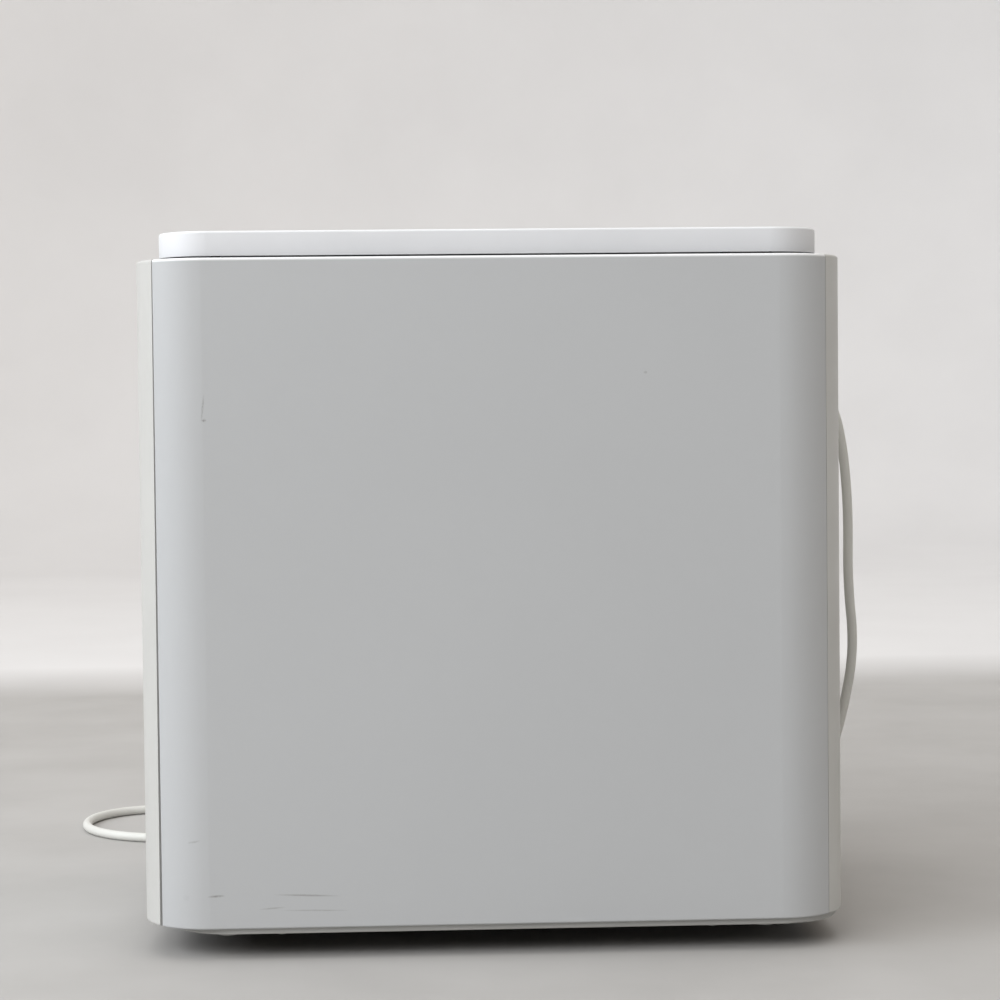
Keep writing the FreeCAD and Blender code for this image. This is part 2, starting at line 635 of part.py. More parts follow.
def make_lid():
    """A shallow moulded lid, hollow underneath, with two hinge knuckles near its rear edge."""
    outer = rounded_block(-LID_X, LID_X, -LID_Y, LID_Y, LID_Z, LID_TOP, LID_CORNER_R)
    outer = outer.makeFillet(LID_EDGE_R, edges_at(outer, LID_TOP))
    inner = rounded_block(
        -LID_X + LID_WALL, LID_X - LID_WALL, -LID_Y + LID_WALL, LID_Y - LID_WALL,
        LID_Z - 1, LID_TOP - LID_WALL, LID_CORNER_R - LID_WALL,
    )
    shell = outer.cut(inner)
    ribs = []
    for x in (-LID_X / 3, LID_X / 3):
        ribs.append(block(x - 1.0, x + 1.0, LID_Y * -0.5, HINGE_Y - 40, LID_TOP - 6.0, LID_TOP - LID_WALL))
    knuckles = []
    for side in SIDES:
        x0 = side * HINGE_X - KNUCKLE_LEN / 2
        x1 = x0 + KNUCKLE_LEN
        knuckles.append(rod(KNUCKLE_R, (x0, HINGE_Y, HINGE_Z), KNUCKLE_LEN, X_AXIS))
        knuckles.append(
            block(x0, x1, HINGE_Y - 3.5, HINGE_Y + 3.5, HINGE_Z, LID_TOP - LID_WALL + 0.2)
        )
    lid = fuse_all([shell] + ribs + knuckles)
    bores = [
        rod(HINGE_PIN_R + RUN, (s * HINGE_X - KNUCKLE_LEN, HINGE_Y, HINGE_Z), 2 * KNUCKLE_LEN, X_AXIS)
        for s in SIDES
    ]
    return lid.cut(group(bores))


def hinge_ear(x0):
    """One ear: an eye on the hinge axis, carried from in front so that the lid's rear wall clears it."""
    eye = rod(KNUCKLE_R, (x0, HINGE_Y, HINGE_Z), EAR_T, X_AXIS)
    arm = block(x0, x0 + EAR_T, HINGE_Y - 15.0, HINGE_Y, HINGE_Z - 4.4, HINGE_Z + 4.4)
    stem = block(x0, x0 + EAR_T, HINGE_Y - 15.0, HINGE_Y - 7.0, TOP_DECK_TOP, HINGE_Z)
    return fuse_all([eye, arm, stem])


def make_hinge_brackets():
    """Two bolted-down brackets, each a base plate with an ear either side of the lid's knuckle."""
    brackets = []
    for side in SIDES:
        centre = side * HINGE_X
        left = centre - KNUCKLE_LEN / 2 - FIT - EAR_T
        right = centre + KNUCKLE_LEN / 2 + FIT
        plate = block(
            left, right + EAR_T, HINGE_Y - 30.0, HINGE_Y - 7.0, TOP_DECK_TOP, TOP_DECK_TOP + 2.0
        )
        bore = rod(HINGE_PIN_R + 0.02, (left - 1, HINGE_Y, HINGE_Z), right - left + EAR_T + 2, X_AXIS)
        brackets.append(fuse_all([plate, hinge_ear(left), hinge_ear(right)]).cut(bore))
    return group(brackets)


def make_hinge_pins():
    pins = []
    length = KNUCKLE_LEN + 2 * (FIT + EAR_T)
    for side in SIDES:
        pins.append(rod(HINGE_PIN_R, (side * HINGE_X - length / 2, HINGE_Y, HINGE_Z), length, X_AXIS))
    return group(pins)


BUMPER_R = 3.2
BUMPER_FRONT = 52.0          # from the cabinet's front
BUMPER_REAR = 76.0


def make_lid_bumpers():
    """Four rubber studs on the deck that the closed lid's edge rests on."""
    studs = []
    for side in SIDES:
        for y in (-HALF_D + BUMPER_FRONT, HALF_D - BUMPER_REAR):
            x = side * (LID_X - 3.4)
            stud = rod(BUMPER_R, (x, y, TOP_DECK_TOP), LID_Z - 0.1 - TOP_DECK_TOP)
            stud = stud.makeFillet(0.8, edges_at(stud, LID_Z - 0.1))
            studs.append(stud)
    return group(studs)


# ---- drawer, bin and slides -------------------------------------------------------------------
def make_drawer_inner():
    """The folded steel plate that ties the drawer front to the carrier."""
    y0 = -INNER_Y + 8.0
    x = min(HALF_W - CORNER_R - 2.0, BIN_OUT_X)
    plate = block(-x, x, y0, y0 + SHEET, BIN_BOTTOM - CARRIER_T - 1.0, PANEL_TOP - 110.0)
    lips = [
        block(s * x - SHEET / 2, s * x + SHEET / 2, y0, y0 + 10.0, BIN_BOTTOM + 8.0, PANEL_TOP - 120.0)
        for s in SIDES
    ]
    return fuse_all([plate] + lips)


def make_carrier():
    """The tray that the bin stands in, with a low lip round it."""
    y0 = -INNER_Y + 8.0 + SHEET
    z0 = BIN_BOTTOM - CARRIER_T - 1.0
    x = BIN_OUT_X + 2.0
    tray = block(-x, x, y0, BIN_REAR + 2.0, z0, z0 + 10.0)
    hollow = block(-x + 1.5, x - 1.5, y0 + 6.0, BIN_REAR + 0.5, z0 + CARRIER_T, z0 + 11.0)
    return tray.cut(hollow)


def make_bin():
    """The drop-in bin, with a rolled rim."""
    body = rounded_block(
        -BIN_OUT_X, BIN_OUT_X, BIN_FRONT, BIN_REAR, BIN_BOTTOM, BIN_TOP, BIN_CORNER_R
    )
    hollow = rounded_block(
        -BIN_OUT_X + BIN_WALL, BIN_OUT_X - BIN_WALL, BIN_FRONT + BIN_WALL, BIN_REAR - BIN_WALL,
        BIN_BOTTOM + 3.0, BIN_TOP + 1, BIN_CORNER_R - BIN_WALL,
    )
    rim = rounded_block(
        -BIN_OUT_X - 3, BIN_OUT_X + 3, BIN_FRONT - 3, BIN_REAR + 3, BIN_TOP - 6.0, BIN_TOP, BIN_CORNER_R + 3
    )
    return body.fuse(rim).cut(hollow).removeSplitter()


def make_bag_ring():
    """The frame that clips the bag's edge over the bin's rim."""
    outer = rounded_block(
        -BIN_OUT_X - 2, BIN_OUT_X + 2, BIN_FRONT - 2, BIN_REAR + 2, BIN_TOP, RING_TOP, BIN_CORNER_R + 2
    )
    inner = rounded_block(
        -BIN_OUT_X + 2.5, BIN_OUT_X - 2.5, BIN_FRONT + 2.5, BIN_REAR - 2.5,
        BIN_TOP - 1, RING_TOP + 1, BIN_CORNER_R - 2.5,
    )
    return outer.cut(inner)


def channel(x, width, z0, z1, wall, y0, y1):
    outer = block(x - width / 2, x + width / 2, y0, y1, z0, z1)
    return outer.cut(block(x - width / 2 + wall, x + width / 2 - wall, y0 - 1, y1 + 1, z0 + wall, z1 + 1))


SLIDE_WALL = 1.6
SLIDE_GAP = 0.6


def slide_levels():
    z = DECK_TOP
    step = SLIDE_WALL + SLIDE_GAP
    return z, z + step, z + 2 * step


def make_slide_outer(side):
    z0, _, _ = slide_levels()
    return channel(side * SLIDE_X, SLIDE_WIDTH, z0, z0 + SLIDE_HEIGHT, SLIDE_WALL, BIN_FRONT, BIN_REAR)


def make_slide_middle(side):
    _, z1, _ = slide_levels()
    width = SLIDE_WIDTH - 2 * (SLIDE_WALL + SLIDE_GAP)
    z_top = DECK_TOP + SLIDE_HEIGHT
    return channel(side * SLIDE_X, width, z1, z_top, SLIDE_WALL, BIN_FRONT, BIN_REAR)


def make_slide_inner(side):
    _, _, z2 = slide_levels()
    width = SLIDE_WIDTH - 4 * (SLIDE_WALL + SLIDE_GAP)
    z_top = BIN_BOTTOM - CARRIER_T - 1.0
    x = side * SLIDE_X
    bar = block(x - width / 2, x + width / 2, BIN_FRONT, BIN_REAR, z2, z_top)
    hollow = block(x - width / 2 + 2, x + width / 2 - 2, BIN_FRONT - 1, BIN_REAR + 1, z2 + 2, z_top - 2)
    return bar.cut(hollow)


# ---- ram --------------------------------------------------------------------------------------
def make_platen():
    """The pressing plate, with four flanges and a grid of ribs welded on top, as separate plates."""
    z = PLATEN_Z
    z1 = z + PLATEN_PLATE_T
    z2 = z + PLATEN_T
    x = PLATEN_X - PLATEN_INSET
    front = PLATEN_FRONT + PLATEN_INSET
    rear = PLATEN_REAR - PLATEN_INSET
    t = PLATEN_RIB_T
    plates = [rounded_block(-PLATEN_X, PLATEN_X, PLATEN_FRONT, PLATEN_REAR, z, z1, PLATEN_CORNER_R)]
    for side in SIDES:
        plates.append(block(side * x - t / 2, side * x + t / 2, front + 12.0, rear - 12.0, z1, z2))
    for y in (front, rear):
        plates.append(block(-x + 12.0, x - 12.0, y - t / 2, y + t / 2, z1, z2))
    rib_x = (-PLATEN_X / 2, 0, PLATEN_X / 2)
    for rib in rib_x:
        plates.append(block(rib - t / 2, rib + t / 2, front + t / 2, rear - t / 2, z1, z2))
    lines = (-x,) + rib_x + (x,)
    for y in (BIN_MID_Y - 60.0, BIN_MID_Y + 60.0):
        for left, right in zip(lines, lines[1:]):
            plates.append(block(left + t / 2, right - t / 2, y - t / 2, y + t / 2, z1, z2))
    return group(plates)


def make_ram_column():
    """Four square legs with cross straps that hang the platen under the beam."""
    z0 = PLATEN_Z + PLATEN_T
    z1 = BEAM_Z
    legs = []
    leg_x = PLATEN_X / 2
    for side in SIDES:
        for end in SIDES:
            y = BIN_MID_Y + end * 20.0
            legs.append(block(side * leg_x - 9, side * leg_x + 9, y - 7, y + 7, z0, z1))
    straps = [
        block(-leg_x - 9, leg_x + 9, BIN_MID_Y - 27, BIN_MID_Y + 27, z0, z0 + 3.0),
        block(-leg_x - 9, leg_x + 9, BIN_MID_Y - 27, BIN_MID_Y + 27, z1 - 3.0, z1),
        block(-leg_x, leg_x, BIN_MID_Y - 2, BIN_MID_Y + 2, z0, z1),
    ]
    for side in SIDES:
        straps.append(
            block(side * leg_x - 2, side * leg_x + 2, BIN_MID_Y - 27, BIN_MID_Y + 27, z0, z1)
        )
    return fuse_all(legs + straps)


SHOE_T = 4.0


def make_beam():
    """A box-section beam between the two screws, bored for the power nuts."""
    x = FRAME_IN - SHOE_T - 0.6
    y0 = BIN_MID_Y - BEAM_DEPTH / 2
    y1 = BIN_MID_Y + BEAM_DEPTH / 2
    beam = block(-x, x, y0, y1, BEAM_Z, BEAM_Z + BEAM_T)
    hollow = block(
        -SCREW_X + 22, SCREW_X - 22, y0 - 1, y1 + 1, BEAM_Z + 3, BEAM_Z + BEAM_T - 3
    )
    webs = block(-SCREW_X + 22, SCREW_X - 22, BIN_MID_Y - 2, BIN_MID_Y + 2, BEAM_Z + 2, BEAM_Z + BEAM_T - 2)
    holes = [rod(NUT_R, (s * SCREW_X, BIN_MID_Y, BEAM_Z - 1), BEAM_T + 2) for s in SIDES]
    return beam.cut(hollow).fuse(webs).cut(group(holes)).removeSplitter()


def make_power_nuts():
    """Flanged bronze nuts; the flange bears on the beam's underside ledge."""
    nuts = []
    for side in SIDES:
        base = (side * SCREW_X, BIN_MID_Y, BEAM_Z)
        body = rod(NUT_R, base, BEAM_T)
        flange = rod(NUT_R + 2.0, (side * SCREW_X, BIN_MID_Y, BEAM_Z + BEAM_T), NUT_FLANGE_T)
        bore = rod(SCREW_R + RUN, (side * SCREW_X, BIN_MID_Y, BEAM_Z - 1), BEAM_T + 5)
        nuts.append(body.fuse(flange).cut(bore).removeSplitter())
    return group(nuts)


def make_guide_shoes():
    """Low-friction pads on the beam's ends, which run against the side frames."""
    shoes = []
    for side in SIDES:
        x = side * (FRAME_IN - 0.5 - SHOE_T / 2)
        shoe = block(
            x - SHOE_T / 2, x + SHOE_T / 2, BIN_MID_Y - BEAM_DEPTH / 2 + 4, BIN_MID_Y + BEAM_DEPTH / 2 - 4,
            BEAM_Z, BEAM_Z + BEAM_T,
        )
        shoes.append(shoe)
    return group(shoes)


# ---- screws, chain and gears ------------------------------------------------------------------
def make_power_screw(side):
    """The screw: thread between the deck and the upper bearing, journals at both ends."""
    x = side * SCREW_X
    y = BIN_MID_Y
    thread = rod(SCREW_R, (x, y, DECK_TOP + 4.0), TOP_FRAME_Z - 12.0 - DECK_TOP - 4.0)
    lower = rod(JOURNAL_R, (x, y, PAN_TOP + 0.5), DECK_TOP + 4.0 - PAN_TOP - 0.5)
    upper = rod(JOURNAL_R, (x, y, TOP_FRAME_Z - 12.0), 13.0)
    return fuse_all([thread, lower, upper])


def make_shaft_bushes():
    """Six plain bushes: three on the pan, two under the top frame, one in the motor plate."""
    bushes = [
        tube(10.0, JOURNAL_R + RUN, (DRIVE_X, DRIVE_Y, PAN_TOP), 4.0),
        tube(8.0, JOURNAL_R + RUN, (DRIVE_X, DRIVE_Y, MOTOR_PLATE_Z), 5.0),
    ]
    for side in SIDES:
        x = side * SCREW_X
        bushes.append(tube(10.0, JOURNAL_R + RUN, (x, BIN_MID_Y, PAN_TOP), 4.0))
        bushes.append(tube(10.0, JOURNAL_R + RUN, (x, BIN_MID_Y, TOP_FRAME_Z - BUSH_H), BUSH_H))
    return group(bushes)


def make_sprocket(index):
    """The chain wheel at one corner of the chain, with a pocket where the chain first meets it."""
    corners = chain_corners()
    x, y = corners[index]
    from_x, from_y = corners[index - 1]
    phase = math.atan2(y - from_y, x - from_x) - math.pi / 2
    tip_r = PITCH_R + 1.6
    wheel = rod(tip_r, (x, y, CHAIN_Z - TOOTH_T / 2), TOOTH_T)
    pockets = []
    for i in range(SPROCKET_TEETH):
        a = phase + 2 * math.pi * i / SPROCKET_TEETH
        centre = (x + PITCH_R * math.cos(a), y + PITCH_R * math.sin(a), CHAIN_Z - TOOTH_T)
        pockets.append(rod(ROLLER_R + 0.15, centre, 2 * TOOTH_T))
    hub = rod(7.4, (x, y, CHAIN_Z - 4.0), 8.0)
    bore = rod(JOURNAL_R + 0.02, (x, y, CHAIN_Z - 5.0), 10.0)
    return wheel.cut(group(pockets)).fuse(hub).cut(bore).removeSplitter()


def chain_corners():
    return [(-SCREW_X, BIN_MID_Y), (SCREW_X, BIN_MID_Y), (DRIVE_X, DRIVE_Y)]


def make_chain():
    """The chain: two rows of link plates round the three wheels, joined by rollers on the runs."""
    loop = polygon_face(chain_corners(), 0)
    outer = loop.makeOffset2D(PITCH_R + CHAIN_PLATE / 2, 0)
    inner = loop.makeOffset2D(PITCH_R - CHAIN_PLATE / 2, 0)
    band = outer.cut(inner)
    strips = []
    gap = TOOTH_T / 2 + 0.5
    for z in (CHAIN_Z - gap - 1.2, CHAIN_Z + gap):
        strip = band.extrude(Vec(0, 0, 1.2))
        strip.translate(Vec(0, 0, z))
        strips.append(strip)
    rollers = []
    corners = chain_corners()
    for i, start in enumerate(corners):
        end = corners[(i + 1) % len(corners)]
        along = Vec(end[0] - start[0], end[1] - start[1], 0)
        length = along.Length
        along.normalize()
        out = Vec(along.y, -along.x, 0)
        first = Vec(start[0], start[1], 0) + out * PITCH_R
        count = int((length - 28.0) / CHAIN_PITCH)
        margin = (length - count * CHAIN_PITCH) / 2
        for k in range(count + 1):
            at = first + along * (margin + k * CHAIN_PITCH)
            rollers.append(rod(ROLLER_R, (at.x, at.y, CHAIN_Z - gap - 0.2), 2 * gap + 0.4))
    return strips[0].multiFuse(strips[1:] + rollers)


def involute_gear(teeth, z, thickness, thinning):
    """A spur gear blank about the origin: involute flanks as arcs, stub teeth, with backlash."""
    pitch_r = GEAR_MODULE * teeth / 2
    base_r = pitch_r * math.cos(math.radians(20))
    tip_r = pitch_r + 0.85 * GEAR_MODULE
    root_r = pitch_r - 1.15 * GEAR_MODULE

    def half_angle(r):
        """Half the tooth's width at radius r, as an angle."""
        at_pitch = math.pi / (2 * teeth) - thinning / (2 * pitch_r)
        at_r = math.acos(min(1.0, base_r / r))
        alpha = math.radians(20)
        return at_pitch + (math.tan(alpha) - alpha) - (math.tan(at_r) - at_r)

    def point(r, angle):
        return Vec(r * math.cos(angle), r * math.sin(angle), z)

    start_r = max(base_r, root_r)
    mid_r = (start_r + tip_r) / 2
    edges = []
    step = 2 * math.pi / teeth
    for i in range(teeth):
        middle = i * step
        after = middle + step
        tip = half_angle(tip_r)
        foot = half_angle(start_r)
        rise = [point(r, middle - half_angle(r)) for r in (start_r, mid_r, tip_r)]
        fall = [point(r, middle + half_angle(r)) for r in (tip_r, mid_r, start_r)]
        edges.append(Part.Arc(*rise).toShape())
        edges.append(Part.Arc(rise[2], point(tip_r, middle), fall[0]).toShape())
        edges.append(Part.Arc(*fall).toShape())
        low = point(root_r, middle + foot)
        high = point(root_r, after - foot)
        if start_r > root_r + 1e-6:
            edges.append(Part.makeLine(fall[2], low))
        edges.append(Part.Arc(low, point(root_r, middle + step / 2), high).toShape())
        if start_r > root_r + 1e-6:
            edges.append(Part.makeLine(high, point(start_r, after - foot)))
    return Part.Face(Part.Wire(edges)).extrude(Vec(0, 0, thickness))


def make_drive_gear():
    gear = involute_gear(GEAR_TEETH, GEAR_Z, GEAR_T, 0.12)
    hub = rod(14.0, (0, 0, GEAR_Z - 2.0), GEAR_T + 3.0)
    gear = gear.fuse(hub)
    cuts = [rod(JOURNAL_R + 0.02, (0, 0, GEAR_Z - 4.0), GEAR_T + 8.0)]
    for i in range(6):
        a = i * math.pi / 3
        cuts.append(rod(8.0, (28.0 * math.cos(a), 28.0 * math.sin(a), GEAR_Z - 1), GEAR_T + 2))
    gear = gear.cut(group(cuts)).removeSplitter()
    gear.translate(Vec(DRIVE_X, DRIVE_Y, 0))
    return gear


def make_drive_shaft():
    return rod(JOURNAL_R, (DRIVE_X, DRIVE_Y, PAN_TOP + 0.5), MOTOR_PLATE_Z + 4.0 - PAN_TOP - 0.5)


def make_motor_pinion():
    """The motor's shaft with its pinion cut on the lower end, in mesh with the drive gear."""
    pinion = involute_gear(PINION_TEETH, GEAR_Z - 1.0, GEAR_T + 2.0, 0.12)
    pinion.rotate(Vec(0, 0, 0), Z_AXIS, 180.0 / PINION_TEETH)
    shaft = rod(5.0, (0, 0, GEAR_Z + GEAR_T), MOTOR_PLATE_Z + MOTOR_H + 26.0 - GEAR_Z - GEAR_T)
    whole = pinion.fuse(shaft).removeSplitter()
    whole.translate(Vec(MOTOR_X, DRIVE_Y, 0))
    return whole


def motor_plate_span():
    """From one wall beyond the motor to just short of the capacitor's foot."""
    return MOTOR_X - MOTOR_R - 14.0, CAPACITOR_X - CAPACITOR_FOOT / 2 - 2.0


def make_motor_plate():
    """The plate that carries the motor and the drive shaft's upper bush, on four stand-offs."""
    x0, x1 = motor_plate_span()
    y0 = DRIVE_Y - 47.0
    y1 = DRIVE_Y + 47.0
    z = MOTOR_PLATE_Z
    plate = rounded_block(x0, x1, y0, y1, z, z + 3.0, 6.0)
    posts = []
    for x in (x0 + 7.0, x1 - 7.0):
        for y in (y0 + 7.0, y1 - 7.0):
            posts.append(rod(5.0, (x, y, DECK_TOP), z - DECK_TOP))
    holes = [
        rod(8.0, (DRIVE_X, DRIVE_Y, z - 1), 5.0),
        rod(8.0, (MOTOR_X, DRIVE_Y, z - 1), 5.0),
    ]
    return fuse_all([plate] + posts).cut(group(holes))


def make_motor():
    """The motor can with two bolted end bells and cooling slots."""
    z0 = MOTOR_PLATE_Z + 3.0
    x = MOTOR_X
    y = DRIVE_Y
    can = rod(MOTOR_R - 1.5, (x, y, z0 + 16.0), MOTOR_H - 32.0)
    low = rod(MOTOR_R, (x, y, z0), 18.0)
    low = low.makeFillet(3.0, edges_at(low, z0))
    high = rod(MOTOR_R, (x, y, z0 + MOTOR_H - 18.0), 18.0)
    high = high.makeFillet(6.0, edges_at(high, z0 + MOTOR_H))
    bore = rod(5.0 + RUN, (x, y, z0 - 1), MOTOR_H + 2)
    slots = []
    for i in range(12):
        slot = block(x + 24, x + 31, y - 2.5, y + 2.5, z0 + MOTOR_H - 8, z0 + MOTOR_H + 1)
        slot.rotate(Vec(x, y, 0), Z_AXIS, 30.0 * i)
        slots.append(slot)
    return fuse_all([can, low, high]).cut(bore).cut(group(slots))


def make_motor_fan():
    """A seven-blade cooling fan on the shaft's upper end."""
    z = MOTOR_PLATE_Z + MOTOR_H + 8.0
    hub = rod(10.0, (MOTOR_X, DRIVE_Y, z), 12.0)
    blades = []
    for i in range(7):
        blade = block(8.0, 34.0, -1.0, 1.0, z + 1.0, z + 11.0)
        blade.rotate(Vec(20, 0, z + 6), X_AXIS, 28.0)
        blade.rotate(Vec(0, 0, 0), Z_AXIS, 360.0 * i / 7)
        blade.translate(Vec(MOTOR_X, DRIVE_Y, 0))
        blades.append(blade)
    bore = rod(5.02, (MOTOR_X, DRIVE_Y, z - 1), 14.0)
    return fuse_all([hub] + blades).cut(bore)


def make_capacitor():
    """The motor's run capacitor, standing in a clamp foot on the deck."""
    x = CAPACITOR_X
    y = DRIVE_Y
    can = rod(20.0, (x, y, DECK_TOP + 3.0), 78.0)
    can = can.makeFillet(2.0, edges_at(can, DECK_TOP + 81.0))
    half = CAPACITOR_FOOT / 2
    foot = block(x - half, x + half, y - 16, y + 16, DECK_TOP, DECK_TOP + 3.0)
    tabs = [block(x + s * 7 - 0.4, x + s * 7 + 0.4, y - 3, y + 3, DECK_TOP + 80, DECK_TOP + 90) for s in SIDES]
    return fuse_all([can, foot] + tabs)


def make_terminal_block():
    """Mains terminals on the bulkhead, level with the cord's gland."""
    y0 = BULKHEAD_Y + SHEET
    body = block(GLAND_X - 24, GLAND_X + 24, y0, y0 + 16, TERMINAL_Z, TERMINAL_Z + 22.0)
    wells = []
    for i in range(4):
        x = GLAND_X - 18 + 12 * i
        for z in (TERMINAL_Z + 6.0, TERMINAL_Z + 16.0):
            wells.append(rod(3.2, (x, y0 + 6, z), 12.0, Y_AXIS))
    return body.cut(group(wells))


# ---- cords ------------------------------------------------------------------------------------
def swept(points, radius):
    """A tube along straight runs joined by tangent arcs; returns the solid, its length and radii."""
    edges = []
    radii = []
    length = 0.0
    at = points[0]
    for before, corner, after in zip(points, points[1:], points[2:]):
        back = (before - corner).normalize()
        ahead = (after - corner).normalize()
        turn = math.pi - back.getAngle(ahead)
        run = min((before - corner).Length, (after - corner).Length)
        reach = 0.45 * run
        r = reach / math.tan(turn / 2)
        start = corner + back * reach
        end = corner + ahead * reach
        bisector = (back + ahead).normalize()
        middle = corner + bisector * (r / math.cos(turn / 2) - r)
        edges.append(Part.makeLine(at, start))
        edges.append(Part.Arc(start, middle, end).toShape())
        length += (start - at).Length + r * turn
        radii.append(r)
        at = end
    edges.append(Part.makeLine(at, points[-1]))
    length += (points[-1] - at).Length
    path = Part.Wire(edges)
    across = (points[1] - points[0]).normalize()
    ring = Part.Wire(Part.makeCircle(radius, points[0], across))
    solid = path.makePipeShell([ring], True, True)
    return solid, length, radii


CORD_Z = CORD_D / 2 + 0.05
COIL_ENTRY = Vec(COIL_CENTRE[0] - COIL_R, COIL_CENTRE[1], CORD_Z)
# The cord hangs from its gland, lies round the back corner, runs forward past the left side,
# turns in a wide loop beyond the front and comes back to its coil.
CORD_ROUTE = [
    GLAND_EXIT,
    GLAND_EXIT + GLAND_DIR * 26.5,
    Vec(-70.5, 266.5, 318.0),
    Vec(-70.0, 270.5, 268.0),
    Vec(-69.5, 269.5, 216.0),
    Vec(-70.5, 274.5, 166.0),
    Vec(-72.0, 266.0, 118.0),
    Vec(-73.0, 253.0, 76.0),
    Vec(-77.0, 247.0, 42.0),
    Vec(-92.0, 249.0, 15.0),
    Vec(-122.0, 252.0, CORD_Z),
    Vec(-159.0, 248.0, CORD_Z),
    Vec(-195.0, 231.0, CORD_Z),
    Vec(-219.0, 198.0, CORD_Z),
    Vec(-229.0, 152.0, CORD_Z),
    Vec(-226.0, 96.0, CORD_Z),
    Vec(-229.0, 38.0, CORD_Z),
    Vec(-238.0, -22.0, CORD_Z),
    Vec(-240.0, -84.0, CORD_Z),
    Vec(-237.0, -146.0, CORD_Z),
    Vec(-236.0, -206.0, CORD_Z),
    Vec(-243.0, -258.0, CORD_Z),
    Vec(-262.0, -297.0, CORD_Z),
    Vec(-297.0, -321.0, CORD_Z),
    Vec(-341.0, -324.0, CORD_Z),
    Vec(-377.0, -304.0, CORD_Z),
    Vec(-391.0, -266.0, CORD_Z),
    Vec(-383.0, -226.0, CORD_Z),
    Vec(-370.0, -195.0, CORD_Z),
    COIL_ENTRY,
]


def make_mains_cord():
    solid, length, radii = swept(CORD_ROUTE, CORD_D / 2)
    section = math.pi * (CORD_D / 2) ** 2
    turns = 2 * math.pi * COIL_R * COIL_TURNS
    print("cord tube %.1f mm, volume ratio %.4f" % (length, solid.Volume / (section * length)))
    print("cord radii", [round(r) for r in radii])
    print("cord with its coil %.1f mm" % (length + turns))
    return solid


def make_cord_coil():
    """The outer shape of the coil, whose turns lie one on the other."""
    height = CORD_D * (COIL_TURNS + 1)
    cx, cy = COIL_CENTRE
    return tube(COIL_R + CORD_D / 2, COIL_R - CORD_D / 2, (cx, cy, 0.05), height)


def make_mains_plug():
    """A round two-pin earthed plug on its side, with its strain relief towards the coil."""
    x = COIL_ENTRY.x
    y0 = COIL_ENTRY.y
    z = PLUG_R
    relief = Part.makeCone(4.2, 6.5, 42.0, Vec(x, y0 + 14.0, z), Y_AXIS)
    body = rod(PLUG_R, (x, y0 + 68.0, z), 22.0, Y_AXIS)
    neck = Part.makeCone(9.0, PLUG_R, 16.0, Vec(x, y0 + 52.0, z), Y_AXIS)
    pins = [rod(2.4, (x + s * 9.5, y0 + 89.0, z), 19.0, Y_AXIS) for s in SIDES]
    notches = [
        block(x - 3.0, x + 3.0, y0 + 80, y0 + 91, z + s * PLUG_R - 2.4, z + s * PLUG_R + 2.4)
        for s in SIDES
    ]
    return fuse_all([relief, neck, body] + pins).cut(group(notches))


def make_cord_gland():
    """The strain relief: a flanged boss in the rear cover and a tapered sleeve that points down."""
    seat = GLAND_EXIT - GLAND_DIR * GLAND_LENGTH
    boss = rod(9.0, (GLAND_X, INNER_Y - 4.0, seat.z), HALF_D - INNER_Y + 4.0, Y_AXIS)
    flange = rod(13.0, (GLAND_X, HALF_D, seat.z), 3.0, Y_AXIS)
    knob = Part.makeSphere(8.0, Vec(GLAND_X, seat.y, seat.z)).common(
        block(GLAND_X - 20, GLAND_X + 20, HALF_D + 0.5, HALF_D + 40, seat.z - 20, seat.z + 20)
    )
    sleeve = Part.makeCone(7.4, 5.2, GLAND_LENGTH, seat, GLAND_DIR)
    sleeve = sleeve.common(block(-WIDTH, WIDTH, HALF_D + 0.5, DEPTH, 0, 2 * PANEL_TOP))
    return fuse_all([boss, flange, knob, sleeve])


LEAD_SLEEVE_R = 3.2
MOTOR_SLEEVE_R = 2.6


def make_wiring_loom():
    """Two sleeved looms: from the cord's gland to the terminals, and down past the fan to the motor."""
    seat = GLAND_EXIT - GLAND_DIR * GLAND_LENGTH
    lead_in = [
        Vec(GLAND_X, INNER_Y - 4.2, seat.z),
        Vec(GLAND_X, INNER_Y - 40.0, seat.z - 4.0),
        Vec(GLAND_X, BULKHEAD_Y + 38.0, seat.z - 44.0),
        Vec(GLAND_X, BULKHEAD_Y + SHEET + 16.2, TERMINAL_Z + 16.0),
    ]
    inlet = Vec(MOTOR_X - 0.93 * MOTOR_R, DRIVE_Y - 0.37 * MOTOR_R, MOTOR_PLATE_Z + MOTOR_H - 10.0)
    to_motor = [
        Vec(GLAND_X + 10.0, BULKHEAD_Y + SHEET + 11.0, TERMINAL_Z - 0.2),
        Vec(GLAND_X + 8.0, BULKHEAD_Y + 18.0, TERMINAL_Z - 38.0),
        inlet + Vec(-1.0, -14.0, 64.0),
        inlet + Vec(-14.5, -7.0, 24.0),
        inlet,
    ]
    looms = [swept(lead_in, LEAD_SLEEVE_R)[0], swept(to_motor, MOTOR_SLEEVE_R)[0]]
    return group(looms)


